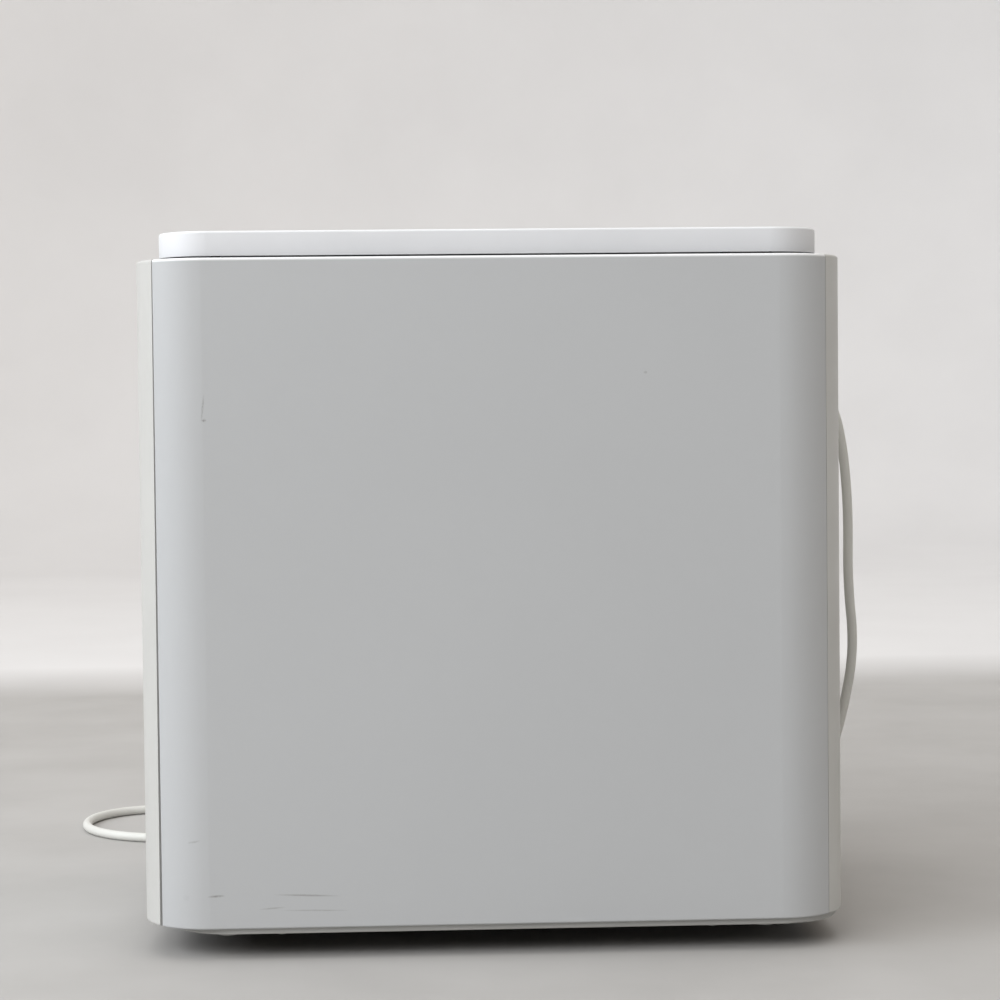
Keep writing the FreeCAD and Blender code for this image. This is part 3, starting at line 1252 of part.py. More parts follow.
# ---- build ------------------------------------------------------------------------------------
def main():
    os.makedirs("parts", exist_ok=True)
    ring = cabinet_ring()
    pieces = {
        "base_pan": make_base_pan(),
        "rubber_feet": make_rubber_feet(),
        "side_frame_left": make_side_frame(-1),
        "side_frame_right": make_side_frame(1),
        "drive_deck": make_drive_deck(),
        "bulkhead": make_bulkhead(),
        "top_frame": make_top_frame(),
        "top_deck": make_top_deck(),
        "side_panel_left": make_side_panel(ring, -1),
        "side_panel_right": make_side_panel(ring, 1),
        "rear_cover": make_rear_cover(ring),
        "case_screws": group([make_cover_screws(), make_foot_screws()]),
        "lid": make_lid(),
        "hinge_brackets": make_hinge_brackets(),
        "hinge_pins": make_hinge_pins(),
        "lid_bumpers": make_lid_bumpers(),
        "control_console": make_console(),
        "control_board": make_control_board(),
        "start_button": make_button(START_X),
        "stop_button": make_button(STOP_X),
        "lamp_lens": make_lens(),
        "key_barrel": make_key_barrel(),
        "lock_key": make_key(),
        "bag_tray": make_bag_tray(),
        "bag_roll": make_bag_roll(),
        "deodoriser": make_canister(),
        "drawer_front": make_drawer_front(ring),
        "pull_cup": make_pull_cup(),
        "drawer_plate": make_drawer_inner(),
        "bin_carrier": make_carrier(),
        "bin": make_bin(),
        "bag_ring": make_bag_ring(),
        "slide_rails": group([make_slide_outer(s) for s in SIDES]),
        "slide_middles": group([make_slide_middle(s) for s in SIDES]),
        "slide_runners": group([make_slide_inner(s) for s in SIDES]),
        "ram_platen": make_platen(),
        "ram_column": make_ram_column(),
        "ram_beam": make_beam(),
        "power_nuts": make_power_nuts(),
        "guide_shoes": make_guide_shoes(),
        "power_screw_left": make_power_screw(-1),
        "power_screw_right": make_power_screw(1),
        "shaft_bushes": make_shaft_bushes(),
        "sprocket_left": make_sprocket(0),
        "sprocket_right": make_sprocket(1),
        "drive_sprocket": make_sprocket(2),
        "drive_chain": make_chain(),
        "drive_gear": make_drive_gear(),
        "drive_shaft": make_drive_shaft(),
        "motor_plate": make_motor_plate(),
        "motor": make_motor(),
        "motor_pinion": make_motor_pinion(),
        "motor_fan": make_motor_fan(),
        "capacitor": make_capacitor(),
        "terminal_block": make_terminal_block(),
        "wiring_loom": make_wiring_loom(),
        "cord_gland": make_cord_gland(),
        "mains_cord": make_mains_cord(),
        "cord_coil": make_cord_coil(),
        "mains_plug": make_mains_plug(),
    }
    for name, shape in pieces.items():
        save(shape, name)
    print("%d nodes; drawer travel %.2f mm" % (len(pieces), DRAWER_TRAVEL))
    print("ram stroke %.1f mm in %.2f turns of the screws" % (RAM_STROKE, RAM_STROKE / SCREW_LEAD))


main()
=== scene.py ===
import math

import bmesh
import bpy
from mathutils import Matrix, Vector


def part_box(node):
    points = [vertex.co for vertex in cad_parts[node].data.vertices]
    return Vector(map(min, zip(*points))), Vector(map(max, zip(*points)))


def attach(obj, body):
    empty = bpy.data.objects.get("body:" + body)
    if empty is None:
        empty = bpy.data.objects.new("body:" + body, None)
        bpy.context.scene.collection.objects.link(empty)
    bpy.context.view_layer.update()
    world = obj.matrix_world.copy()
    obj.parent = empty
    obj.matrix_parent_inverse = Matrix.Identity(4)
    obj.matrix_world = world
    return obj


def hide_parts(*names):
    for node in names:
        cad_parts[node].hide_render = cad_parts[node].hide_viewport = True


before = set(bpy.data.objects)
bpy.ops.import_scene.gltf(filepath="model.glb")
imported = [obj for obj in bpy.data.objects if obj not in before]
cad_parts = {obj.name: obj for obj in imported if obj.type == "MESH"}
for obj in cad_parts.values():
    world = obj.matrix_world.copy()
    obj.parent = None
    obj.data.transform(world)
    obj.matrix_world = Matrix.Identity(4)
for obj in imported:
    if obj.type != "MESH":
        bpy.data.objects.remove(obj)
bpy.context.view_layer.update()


# ---- Camera ------------------------------------
# A long lens looks almost square at the cabinet's right-hand side from 1.5 m away, at the
# height of its upper half, with the horizon a touch off true.
camera_place = Vector((1.682, -0.0578, 0.3444))
camera_yaw = math.radians(2.35)
camera_pitch = math.radians(2.15)
camera_roll = math.radians(0.62)
ahead = Vector((
    -math.cos(camera_yaw) * math.cos(camera_pitch),
    math.sin(camera_yaw) * math.cos(camera_pitch),
    -math.sin(camera_pitch),
))
level_right = ahead.cross(Vector((0, 0, 1))).normalized()
level_up = level_right.cross(ahead)
right = level_right * math.cos(camera_roll) - level_up * math.sin(camera_roll)
up = level_up * math.cos(camera_roll) + level_right * math.sin(camera_roll)
camera_data = bpy.data.cameras.new("camera")
camera_data.sensor_width = 36.0
camera_data.lens = 86.4
camera_data.clip_start = 0.05
camera_data.clip_end = 60.0
camera = bpy.data.objects.new("camera", camera_data)
camera.matrix_world = Matrix((
    (right.x, up.x, -ahead.x, camera_place.x),
    (right.y, up.y, -ahead.y, camera_place.y),
    (right.z, up.z, -ahead.z, camera_place.z),
    (0, 0, 0, 1),
))
bpy.context.collection.objects.link(camera)
bpy.context.scene.camera = camera
bpy.context.scene.view_settings.view_transform = "Standard"


# ---- Studio ------------------------------------
# A painted floor, grey round the cabinet and white beyond it, sweeps up into a low round wall under
# a soft white sky that turns dimmer and warmer behind the cabinet.  A large cool window light stands
# on the drawer's side, with a fill behind the camera and two weak lights overhead.
def deselect():
    """Leaves edit mode and selects nothing."""
    if bpy.context.object and bpy.context.object.mode != "OBJECT":
        bpy.ops.object.mode_set(mode="OBJECT")
    bpy.ops.object.select_all(action="DESELECT")


def new_finish(name, roughness, metallic=0.0):
    """A blank finish: material, node tree, shader and object coordinates."""
    finish = bpy.data.materials.new(name)
    finish.use_nodes = True
    tree = finish.node_tree
    shader = tree.nodes["Principled BSDF"]
    shader.inputs["Roughness"].default_value = roughness
    shader.inputs["Metallic"].default_value = metallic
    return finish, tree, shader, tree.nodes.new("ShaderNodeTexCoord").outputs["Object"]


def noise(tree, place, scale, detail=3.0):
    """Cloudy noise, that many clouds to a metre."""
    texture = tree.nodes.new("ShaderNodeTexNoise")
    texture.inputs["Scale"].default_value = scale
    texture.inputs["Detail"].default_value = detail
    tree.links.new(place, texture.inputs["Vector"])
    return texture.outputs["Fac"]


def level(tree, factor, low, high, start=0.35, end=0.65):
    """The factor's range from start to end, spread from low to high."""
    spread = tree.nodes.new("ShaderNodeMapRange")
    for socket, value in (("From Min", start), ("From Max", end), ("To Min", low), ("To Max", high)):
        spread.inputs[socket].default_value = value
    tree.links.new(factor, spread.inputs["Value"])
    return spread.outputs["Result"]


def tone(tree, factor, dark, light, start=0.35, end=0.65):
    """A colour that runs from dark to light as the factor goes from start to end."""
    ramp = tree.nodes.new("ShaderNodeValToRGB")
    ramp.color_ramp.elements[0].position = start
    ramp.color_ramp.elements[0].color = (*dark, 1)
    ramp.color_ramp.elements[1].position = end
    ramp.color_ramp.elements[1].color = (*light, 1)
    tree.links.new(factor, ramp.inputs["Fac"])
    return ramp.outputs["Color"]


def colour_by(tree, shader, factor, dark, light, start=0.35, end=0.65):
    """Gives the finish a colour from dark to light as the factor goes from start to end."""
    tree.links.new(tone(tree, factor, dark, light, start, end), shader.inputs["Base Color"])


def gloss_by(tree, shader, factor, low, high, start=0.35, end=0.65):
    """Gives the finish a roughness from low to high as the factor goes from start to end."""
    tree.links.new(level(tree, factor, low, high, start, end), shader.inputs["Roughness"])


def darker(colour, share):
    """The colour with each channel cut to that share."""
    return [c * share for c in colour]


def axis_of(tree, vector, axis):
    """The X, Y or Z of a vector."""
    parts = tree.nodes.new("ShaderNodeSeparateXYZ")
    tree.links.new(vector, parts.inputs["Vector"])
    return parts.outputs[axis]


def laid_over(tree, share, under, over):
    """One colour over another by a share; the upper one is a socket or a plain colour."""
    mix = tree.nodes.new("ShaderNodeMix")
    mix.data_type = "RGBA"
    tree.links.new(share, mix.inputs["Factor"])
    tree.links.new(under, mix.inputs["A"])
    if isinstance(over, tuple):
        mix.inputs["B"].default_value = (*over, 1)
    else:
        tree.links.new(over, mix.inputs["B"])
    return mix.outputs["Result"]


white_start = -1.25
white_blend = 0.35
cove_paint, tree, shader, place = new_finish("studio_paint", 0.75)
floor_grey = tone(tree, noise(tree, place, 7.0, 8.0), (0.420, 0.410, 0.396), (0.458, 0.448, 0.434))
wall_white = tone(tree, noise(tree, place, 3.0, 6.0), (0.75, 0.743, 0.742), (0.775, 0.768, 0.767))
white_share = level(tree, axis_of(tree, place, "X"), 1.0, 0.0, white_start - white_blend, white_start)
tree.links.new(laid_over(tree, white_share, floor_grey, wall_white), shader.inputs["Base Color"])

cove_radius = 5.0
cove_sweep = 1.2
cove_height = 3.2
sweep_steps = 8
floor_radius = cove_radius - cove_sweep
deselect()
bpy.ops.mesh.primitive_circle_add(vertices=96, radius=floor_radius, fill_type="NGON")
cove = bpy.context.object
cove.name = "studio_cove"
bpy.ops.object.mode_set(mode="EDIT")
bpy.ops.mesh.select_mode(type="EDGE")
bpy.ops.mesh.select_all(action="SELECT")
bpy.ops.mesh.region_to_loop()
for step in range(sweep_steps):
    before = math.pi / 2 * step / sweep_steps
    after = math.pi / 2 * (step + 1) / sweep_steps
    rise = cove_sweep * (math.cos(before) - math.cos(after))
    growth = (floor_radius + cove_sweep * math.sin(after)) / (floor_radius + cove_sweep * math.sin(before))
    bpy.ops.mesh.extrude_edges_move(TRANSFORM_OT_translate={"value": (0, 0, rise)})
    bpy.ops.transform.resize(value=(growth, growth, 1))
bpy.ops.mesh.extrude_edges_move(TRANSFORM_OT_translate={"value": (0, 0, cove_height - cove_sweep)})
bpy.ops.object.mode_set(mode="OBJECT")
bpy.ops.object.shade_smooth()
cove.data.materials.append(cove_paint)

sky = bpy.data.worlds.new("soft_sky")
bpy.context.scene.world = sky
sky.use_nodes = True
tree = sky.node_tree
backdrop = tree.nodes["Background"]
backdrop.inputs["Strength"].default_value = 0.95
skyward = tree.nodes.new("ShaderNodeTexCoord").outputs["Generated"]
sky_tone = tone(tree, axis_of(tree, skyward, "Y"), (1.0, 1.0, 1.0), (0.60, 0.47, 0.34), 0.0, 0.9)
tree.links.new(sky_tone, backdrop.inputs["Color"])


def soft_light(name, place, aim, width, height, power, colour):
    """A large flat light that the camera doesn't see."""
    data = bpy.data.lights.new(name, "AREA")
    data.shape = "RECTANGLE"
    data.size = width
    data.size_y = height
    data.energy = power
    data.color = colour
    light = bpy.data.objects.new(name, data)
    light.location = place
    light.rotation_mode = "QUATERNION"
    light.rotation_quaternion = (Vector(aim) - Vector(place)).to_track_quat("-Z", "Y")
    light.visible_camera = False
    bpy.context.collection.objects.link(light)


soft_light("window", (0.9, -2.8, 1.7), (0.1, 0, 0.25), 2.2, 1.8, 64.0, (0.91, 0.95, 1.0))
soft_light("overhead", (0.3, 0.0, 2.9), (0, 0, 0), 2.4, 2.4, 12.0, (1.0, 0.99, 0.97))
soft_light("fill", (2.9, -1.6, 2.1), (0.1, 0, 0.25), 2.6, 1.6, 44.0, (0.96, 0.98, 1.0))
soft_light("backdrop", (-1.6, 0.0, 2.9), (-4.6, 0, 1.2), 3.0, 1.2, 12.0, (1.0, 0.99, 0.97))


# ---- Mains lead --------------------------------
# A soft white PVC three-core lead, 7.2 mm thick and 1.8 m long.  It hangs from its strain relief,
# lies round the cabinet's back corner and out past the front, and ends in a coil and a plug.
lead_thickness = 0.0072
lead_z = lead_thickness / 2 + 0.00005
plug_radius = 0.018
coil_radius = 0.040
coil_turns = 2
coil_points = 14
coil_middle = Vector((-0.330, -0.165, 0))
lead_exit = Vector((-0.070, 0.245, 0.372))
relief_aim = Vector((0, 0.5, -math.sqrt(0.75)))
lead_route = [
    lead_exit,
    lead_exit + relief_aim * 0.0265,
    (-0.0705, 0.2665, 0.318),
    (-0.0700, 0.2705, 0.268),
    (-0.0695, 0.2695, 0.216),
    (-0.0705, 0.2745, 0.166),
    (-0.0720, 0.2660, 0.118),
    (-0.0730, 0.2530, 0.076),
    (-0.0770, 0.2470, 0.042),
    (-0.0920, 0.2490, 0.015),
    (-0.1220, 0.2520, lead_z),
    (-0.1590, 0.2480, lead_z),
    (-0.1950, 0.2310, lead_z),
    (-0.2190, 0.1980, lead_z),
    (-0.2290, 0.1520, lead_z),
    (-0.2260, 0.0960, lead_z),
    (-0.2290, 0.0380, lead_z),
    (-0.2380, -0.0220, lead_z),
    (-0.2400, -0.0840, lead_z),
    (-0.2370, -0.1460, lead_z),
    (-0.2360, -0.2060, lead_z),
    (-0.2430, -0.2580, lead_z),
    (-0.2620, -0.2970, lead_z),
    (-0.2970, -0.3210, lead_z),
    (-0.3410, -0.3240, lead_z),
    (-0.3770, -0.3040, lead_z),
    (-0.3910, -0.2660, lead_z),
    (-0.3830, -0.2260, lead_z),
    (-0.3700, -0.1950, lead_z),
]
turn_radius = coil_radius / math.cos(math.pi / coil_points)
for k in range(coil_points * coil_turns):
    turn = (k + 0.5) / coil_points
    angle = math.pi - 2 * math.pi * turn
    height = lead_z + lead_thickness * turn
    lead_route.append(coil_middle + Vector((
        turn_radius * math.cos(angle), turn_radius * math.sin(angle), height
    )))
lead_tail = coil_middle + Vector((-coil_radius, 0, plug_radius))
lead_route.append(lead_tail + Vector((0, 0.004, 0)))
lead_route.append(lead_tail + Vector((0, 0.016, 0)))


def emboss(tree, shader, height, depth, strength=1.0):
    """Bump of that depth in metres, laid over any bump the shader already has."""
    bump = tree.nodes.new("ShaderNodeBump")
    bump.inputs["Strength"].default_value = strength
    bump.inputs["Distance"].default_value = depth
    tree.links.new(height, bump.inputs["Height"])
    if shader.inputs["Normal"].is_linked:
        tree.links.new(shader.inputs["Normal"].links[0].from_socket, bump.inputs["Normal"])
    tree.links.new(bump.outputs["Normal"], shader.inputs["Normal"])


def moulding(name, colour, roughness, grain_size, grain_depth):
    """Injection-moulded plastic: faint flow mottling and a fine spark-eroded grain."""
    finish, tree, shader, place = new_finish(name, roughness)
    flow = noise(tree, place, 16.0)
    colour_by(tree, shader, flow, darker(colour, 0.96), colour)
    gloss_by(tree, shader, flow, roughness + 0.05, roughness - 0.05)
    emboss(tree, shader, noise(tree, place, 1 / grain_size, 2.0), grain_depth)
    return finish


lead_pvc = moulding("lead_pvc", (0.70, 0.70, 0.665), 0.48, 0.0022, 0.00002)
lead_curve = bpy.data.curves.new("mains_lead", "CURVE")
lead_curve.dimensions = "3D"
lead_curve.bevel_depth = lead_thickness / 2
lead_curve.bevel_resolution = 6
lead_curve.use_fill_caps = True
lead_curve.resolution_u = 8
lead_curve.materials.append(lead_pvc)
spline = lead_curve.splines.new("NURBS")
spline.points.add(len(lead_route) - 1)
for point, place in zip(spline.points, lead_route):
    point.co = (*place, 1)
spline.order_u = 3
spline.use_endpoint_u = True
lead = bpy.data.objects.new("mains_lead", lead_curve)
bpy.context.collection.objects.link(lead)
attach(lead, "chassis")
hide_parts("mains_cord", "cord_coil")


# ---- Strain relief, plug and coil tie ----------
# Soft white PVC mouldings on the lead: a flanged, ribbed sleeve that snaps into the rear cover, and a
# round two-pin earthed plug moulded onto the far end.  A hook-and-loop strap holds the coil's turns.
def turned(name, rings, sides=48, base=(0, 0, 0), axis=(0, 0, 1), closed=False):
    """A turned piece, drawn up from ring to ring of (height, radius); closed joins last to first."""
    deselect()
    height, radius = rings[0]
    fill = "NOTHING" if closed else "NGON"
    bpy.ops.mesh.primitive_circle_add(vertices=sides, radius=radius, fill_type=fill, location=(0, 0, 0))
    piece = bpy.context.object
    piece.name = name
    bpy.ops.object.mode_set(mode="EDIT")
    bpy.ops.mesh.select_mode(type="EDGE")
    bpy.ops.mesh.select_all(action="SELECT")
    bpy.ops.transform.translate(value=(0, 0, height))
    for next_height, next_radius in rings[1:]:
        bpy.ops.mesh.extrude_edges_move(TRANSFORM_OT_translate={"value": (0, 0, next_height - height)})
        growth = next_radius / radius
        bpy.ops.transform.resize(value=(growth, growth, 1), center_override=(0, 0, next_height))
        height, radius = next_height, next_radius
    if not closed:
        bpy.ops.mesh.edge_face_add()
    bpy.ops.mesh.select_all(action="SELECT")
    bpy.ops.mesh.remove_doubles(threshold=1e-6)
    bpy.ops.mesh.normals_make_consistent(inside=False)
    bpy.ops.object.mode_set(mode="OBJECT")
    piece.rotation_mode = "QUATERNION"
    piece.rotation_quaternion = Vector((0, 0, 1)).rotation_difference(Vector(axis))
    piece.location = base
    bake_place(piece)
    return piece


def bake_place(piece):
    """Puts a piece's place, turn and size into its mesh, so that its object stands at the origin."""
    deselect()
    piece.select_set(True)
    bpy.context.view_layer.objects.active = piece
    bpy.ops.object.transform_apply(location=True, rotation=True, scale=True)


def boxed(name, low, high, rounding, segments=2):
    """A block between two corners with every edge rounded."""
    deselect()
    low, high = Vector(low), Vector(high)
    bpy.ops.mesh.primitive_cube_add(size=1, location=(low + high) / 2, scale=high - low)
    piece = bpy.context.object
    piece.name = name
    bake_place(piece)
    bpy.ops.object.mode_set(mode="EDIT")
    bpy.ops.mesh.select_all(action="SELECT")
    bpy.ops.mesh.bevel(offset=rounding, segments=segments, affect="EDGES")
    bpy.ops.object.mode_set(mode="OBJECT")
    return piece


def carve(piece, cutter):
    """Cuts one piece out of another."""
    cut = piece.modifiers.new("cut", "BOOLEAN")
    cut.operation = "DIFFERENCE"
    cut.solver = "EXACT"
    cut.object = cutter
    deselect()
    bpy.context.view_layer.objects.active = piece
    bpy.ops.object.modifier_apply(modifier=cut.name)
    bpy.data.objects.remove(cutter)


def joined(name, pieces):
    """Makes one piece of several."""
    deselect()
    for piece in pieces:
        piece.select_set(True)
    bpy.context.view_layer.objects.active = pieces[0]
    bpy.ops.object.join()
    pieces[0].name = name
    return pieces[0]


def copied(piece, shift, turn=0.0, about=(0, 0, 0)):
    """A copy with its own mesh, turned about an upright axis and then shifted."""
    twin = piece.copy()
    twin.data = piece.data.copy()
    bpy.context.collection.objects.link(twin)
    spin = Matrix.Translation(about) @ Matrix.Rotation(turn, 4, "Z") @ Matrix.Translation(-Vector(about))
    twin.matrix_world = Matrix.Translation(shift) @ spin @ piece.matrix_world
    bake_place(twin)
    return twin


def fit(piece, finish, body, slot, *stands_for):
    """Smooths a finished piece, gives it its finish and hangs it on its body."""
    deselect()
    piece.select_set(True)
    bpy.context.view_layer.objects.active = piece
    bpy.ops.object.shade_smooth_by_angle(angle=math.radians(38))
    piece.data.materials.clear()
    piece.data.materials.append(finish)
    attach(piece, body)
    if stands_for:
        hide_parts(*stands_for)


def dress(finish, *names):
    """Gives CAD pieces their finish."""
    for name in names:
        for material_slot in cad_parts[name].material_slots:
            material_slot.material = finish


plug_metal, tree, shader, place = new_finish("plug_nickel", 0.24, 1.0)
rubbed = noise(tree, place, 900.0)
colour_by(tree, shader, rubbed, (0.55, 0.54, 0.50), (0.72, 0.71, 0.68))
strap_weave, tree, shader, place = new_finish("strap_weave", 0.85)
shader.inputs["Sheen Weight"].default_value = 0.3
nap = noise(tree, place, 2600.0, 4.0)
colour_by(tree, shader, nap, (0.55, 0.55, 0.54), (0.76, 0.76, 0.74))
emboss(tree, shader, nap, 0.0003)

relief_length = 0.034
relief_seat = lead_exit - relief_aim * relief_length
cover_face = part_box("rear_cover")[1].y
boss = turned(
    "relief_boss",
    [(-0.007, 0.0080), (-0.006, 0.0088), (0, 0.0088), (0, 0.0130), (0.0018, 0.0130), (0.0030, 0.0118),
     (0.0036, 0.0092), (0.0070, 0.0085), (0.0092, 0.0066), (0.0105, 0.0030)],
    base=(relief_seat.x, cover_face, relief_seat.z), axis=(0, 1, 0),
)
relief_ribs = 8
relief_ribs_low = 0.006
rib_pitch = (relief_length - relief_ribs_low) / relief_ribs
sleeve_rings = [(0.002, 0.0060), (0.004, 0.0078)]
for rib in range(relief_ribs):
    rib_radius = 0.0078 - 0.0028 * rib / (relief_ribs - 1)
    rib_low = relief_ribs_low + rib * rib_pitch
    sleeve_rings += [
        (rib_low, rib_radius), (rib_low + 0.0021, rib_radius),
        (rib_low + 0.0024, rib_radius - 0.0010), (rib_low + 0.0032, rib_radius - 0.0010),
    ]
sleeve_rings[-1] = (relief_length, 0.0042)
sleeve = turned("relief_sleeve", sleeve_rings, base=relief_seat, axis=relief_aim)
strain_relief = joined("strain_relief", [boss, sleeve])
fit(strain_relief, lead_pvc, "chassis", "cord_white", "cord_gland")

plug_foot = lead_tail + Vector((0, 0.014, 0))
plug_ribs = 7
plug_grooves = 4
plug_face = 0.0760
plug_rings = [(0.0, 0.0042)]
for rib in range(plug_ribs):
    rib_radius = 0.0050 + 0.0028 * rib / (plug_ribs - 1)
    rib_low = 0.0005 + 0.0056 * rib
    plug_rings += [
        (rib_low, rib_radius), (rib_low + 0.0034, rib_radius),
        (rib_low + 0.0038, rib_radius - 0.0012), (rib_low + 0.0052, rib_radius - 0.0012),
    ]
plug_rings += [(0.0400, 0.0072), (0.0425, 0.0098), (0.0455, 0.0132), (0.0490, 0.0160), (0.0530, 0.0175)]
for groove in range(plug_grooves):
    groove_low = 0.0560 + 0.0036 * groove
    plug_rings += [
        (groove_low, plug_radius), (groove_low + 0.0020, plug_radius),
        (groove_low + 0.0024, plug_radius - 0.0007), (groove_low + 0.0032, plug_radius - 0.0007),
    ]
plug_rings += [
    (0.0710, plug_radius), (0.0752, plug_radius), (plug_face, 0.0172), (plug_face, 0.0160), (0.0752, 0.0154),
]
plug_body = turned("mains_plug_body", plug_rings, sides=64, base=plug_foot, axis=(0, 1, 0))
for side in (-1, 1):
    notch_middle = plug_foot + Vector((0, 0.0725, side * plug_radius))
    notch_half = Vector((0.0030, 0.0065, 0.0022))
    carve(plug_body, boxed("notch", notch_middle - notch_half, notch_middle + notch_half, 0.0006))
fit(plug_body, lead_pvc, "chassis", "cord_white", "mains_plug")
pin_spacing = 0.019
plug_pins = []
for side in (-1, 1):
    plug_pins.append(turned(
        "pin", [(0, 0.0024), (0.0162, 0.0024), (0.0180, 0.0019), (0.0190, 0.0010)], sides=24,
        base=plug_foot + Vector((side * pin_spacing / 2, plug_face - 0.0010, 0)), axis=(0, 1, 0),
    ))
plug_pins = joined("mains_plug_pins", plug_pins)
fit(plug_pins, plug_metal, "chassis", "lock_chrome")

tie_middle = coil_middle + Vector((coil_radius, 0, lead_z + lead_thickness))
tie_half = Vector((0.0047, 0.0075, 0.0083))
deselect()
bpy.ops.mesh.primitive_cube_add(size=2, location=tie_middle, scale=tie_half)
coil_tie = bpy.context.object
coil_tie.name = "coil_tie"
bake_place(coil_tie)
bpy.ops.object.mode_set(mode="EDIT")


def pick(kind, test):
    """Selects, in edit mode, the vertices, edges or faces that pass a test of place or normal."""
    bpy.ops.mesh.select_mode(type=kind)
    bpy.ops.mesh.select_all(action="DESELECT")
    mesh = bmesh.from_edit_mesh(bpy.context.object.data)
    for part in {"VERT": mesh.verts, "EDGE": mesh.edges, "FACE": mesh.faces}[kind]:
        if test(part):
            part.select_set(True)
    bmesh.update_edit_mesh(bpy.context.object.data)


pick("FACE", lambda face: abs(face.normal.y) > 0.9)
bpy.ops.mesh.delete(type="ONLY_FACE")
pick("EDGE", lambda edge: abs(edge.verts[0].co.y - edge.verts[1].co.y) > 0.01)
bpy.ops.mesh.bevel(offset=0.0040, segments=6, affect="EDGES")
bpy.ops.object.mode_set(mode="OBJECT")
strap_wall = coil_tie.modifiers.new("wall", "SOLIDIFY")
strap_wall.thickness = 0.0011
strap_wall.offset = 1.0
bpy.ops.object.modifier_apply(modifier=strap_wall.name)
tail_low = tie_middle + Vector((0.0058, -0.0070, -0.0060))
tail_high = tie_middle + Vector((0.0071, 0.0070, 0.0075))
strap_tail = boxed("tail", tail_low, tail_high, 0.0005)
fit(joined("coil_tie", [coil_tie, strap_tail]), strap_weave, "chassis", "cord_white")


# ---- Base pan and feet -------------------------
# The pan is one light grey polypropylene moulding with domed pads under its corners; its flat underside is
# painted near-black as painted shade under the cabinet.  Four rubber feet are screwed up into it, and stand
# on the floor.
def rubber(name, colour):
    """Moulded rubber: dull, faintly bloomed, and dusty in its low spots."""
    finish, tree, shader, place = new_finish(name, 0.72)
    bloomed = [c + 0.03 for c in colour]
    bloom = noise(tree, place, 60.0, 5.0)
    colour_by(tree, shader, bloom, colour, bloomed, 0.4, 0.75)
    emboss(tree, shader, noise(tree, place, 1400.0), 0.00006)
    return finish


def product(tree, first, second):
    """Two shares multiplied together."""
    times = tree.nodes.new("ShaderNodeMath")
    times.operation = "MULTIPLY"
    tree.links.new(first, times.inputs[0])
    tree.links.new(second, times.inputs[1])
    return times.outputs[0]


pad_drop = 0.003
pan_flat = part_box("base_pan")[0].z + pad_drop
pan_finish = moulding("pan_moulding", (0.42, 0.42, 0.405), 0.5, 0.0012, 0.00003)
tree = pan_finish.node_tree
shader = tree.nodes["Principled BSDF"]
place = tree.nodes.new("ShaderNodeTexCoord").outputs["Object"]
facing = tree.nodes.new("ShaderNodeNewGeometry").outputs["Normal"]
# Painted shade: the pan's flat, downward-facing underside above the pads' level is painted near-black.
above_pads = level(tree, axis_of(tree, place, "Z"), 0.0, 1.0, pan_flat - 0.0003, pan_flat - 0.0001)
downward = level(tree, axis_of(tree, facing, "Z"), 1.0, 0.0, -0.99, -0.90)
moulded = shader.inputs["Base Color"].links[0].from_socket
underside_painted_shade = laid_over(tree, product(tree, above_pads, downward), moulded, (0.035, 0.033, 0.031))
tree.links.new(underside_painted_shade, shader.inputs["Base Color"])
dress(pan_finish, "base_pan")
dress(rubber("foot_rubber", (0.018, 0.018, 0.019)), "rubber_feet", "lid_bumpers")


# ---- Sheet-metal frame -------------------------
# Folded 1.5 and 2 mm galvanised sheet: side frames, drive deck, bulkhead, top frame, the motor's
# plate and the drawer's plate and carrier.  They are spot welded and riveted to one another.
def galvanised(name, colour, spangle):
    """Hot-dipped zinc: flat crystals that each turn the light a little, under a dull bloom."""
    finish, tree, shader, place = new_finish(name, 0.42, 1.0)
    crystals = tree.nodes.new("ShaderNodeTexVoronoi")
    crystals.inputs["Scale"].default_value = 1 / spangle
    tree.links.new(place, crystals.inputs["Vector"])
    facet = tree.nodes.new("ShaderNodeSeparateColor")
    tree.links.new(crystals.outputs["Color"], facet.inputs["Color"])
    bloom = noise(tree, place, 22.0, 5.0)
    blend = tree.nodes.new("ShaderNodeMath")
    blend.operation = "MULTIPLY_ADD"
    blend.inputs[1].default_value = 0.55
    tree.links.new(facet.outputs["Red"], blend.inputs[0])
    tree.links.new(level(tree, bloom, 0.0, 0.45), blend.inputs[2])
    colour_by(tree, shader, blend.outputs[0], darker(colour, 0.78), colour, 0.0, 1.0)
    gloss_by(tree, shader, blend.outputs[0], 0.52, 0.34, 0.0, 1.0)
    emboss(tree, shader, facet.outputs["Green"], 0.00002, 0.6)
    return finish


zinc_sheet = galvanised("galvanised_sheet", (0.60, 0.61, 0.62), 0.009)
dress(
    zinc_sheet, "side_frame_left", "side_frame_right", "drive_deck", "bulkhead", "top_frame",
    "motor_plate", "drawer_plate", "bin_carrier", "hinge_brackets",
)


# ---- Drive: bushes, shaft, gears and chain -----
# Oil-filled bronze bushes carry the shaft and screws.  The blackened steel pinion turns the big gear,
# and an 8 mm chain of pressed side plates and rollers joins the three sprockets under the deck.
def sintered(name, colour):
    """Pressed and sintered bronze: open pores, and oil that has bled out in patches."""
    finish, tree, shader, place = new_finish(name, 0.45, 1.0)
    pores = noise(tree, place, 2200.0, 2.0)
    oil = noise(tree, place, 140.0, 4.0)
    colour_by(tree, shader, pores, darker(colour, 0.55), colour, 0.30, 0.45)
    gloss_by(tree, shader, oil, 0.22, 0.52)
    emboss(tree, shader, pores, 0.00008)
    return finish


def drawn_out(tree, place, scale):
    """Scaled coordinates; a pattern on them is drawn out along an axis with a small scale."""
    drawn = tree.nodes.new("ShaderNodeMapping")
    drawn.inputs["Scale"].default_value = scale
    tree.links.new(place, drawn.inputs["Vector"])
    return drawn.outputs["Vector"]


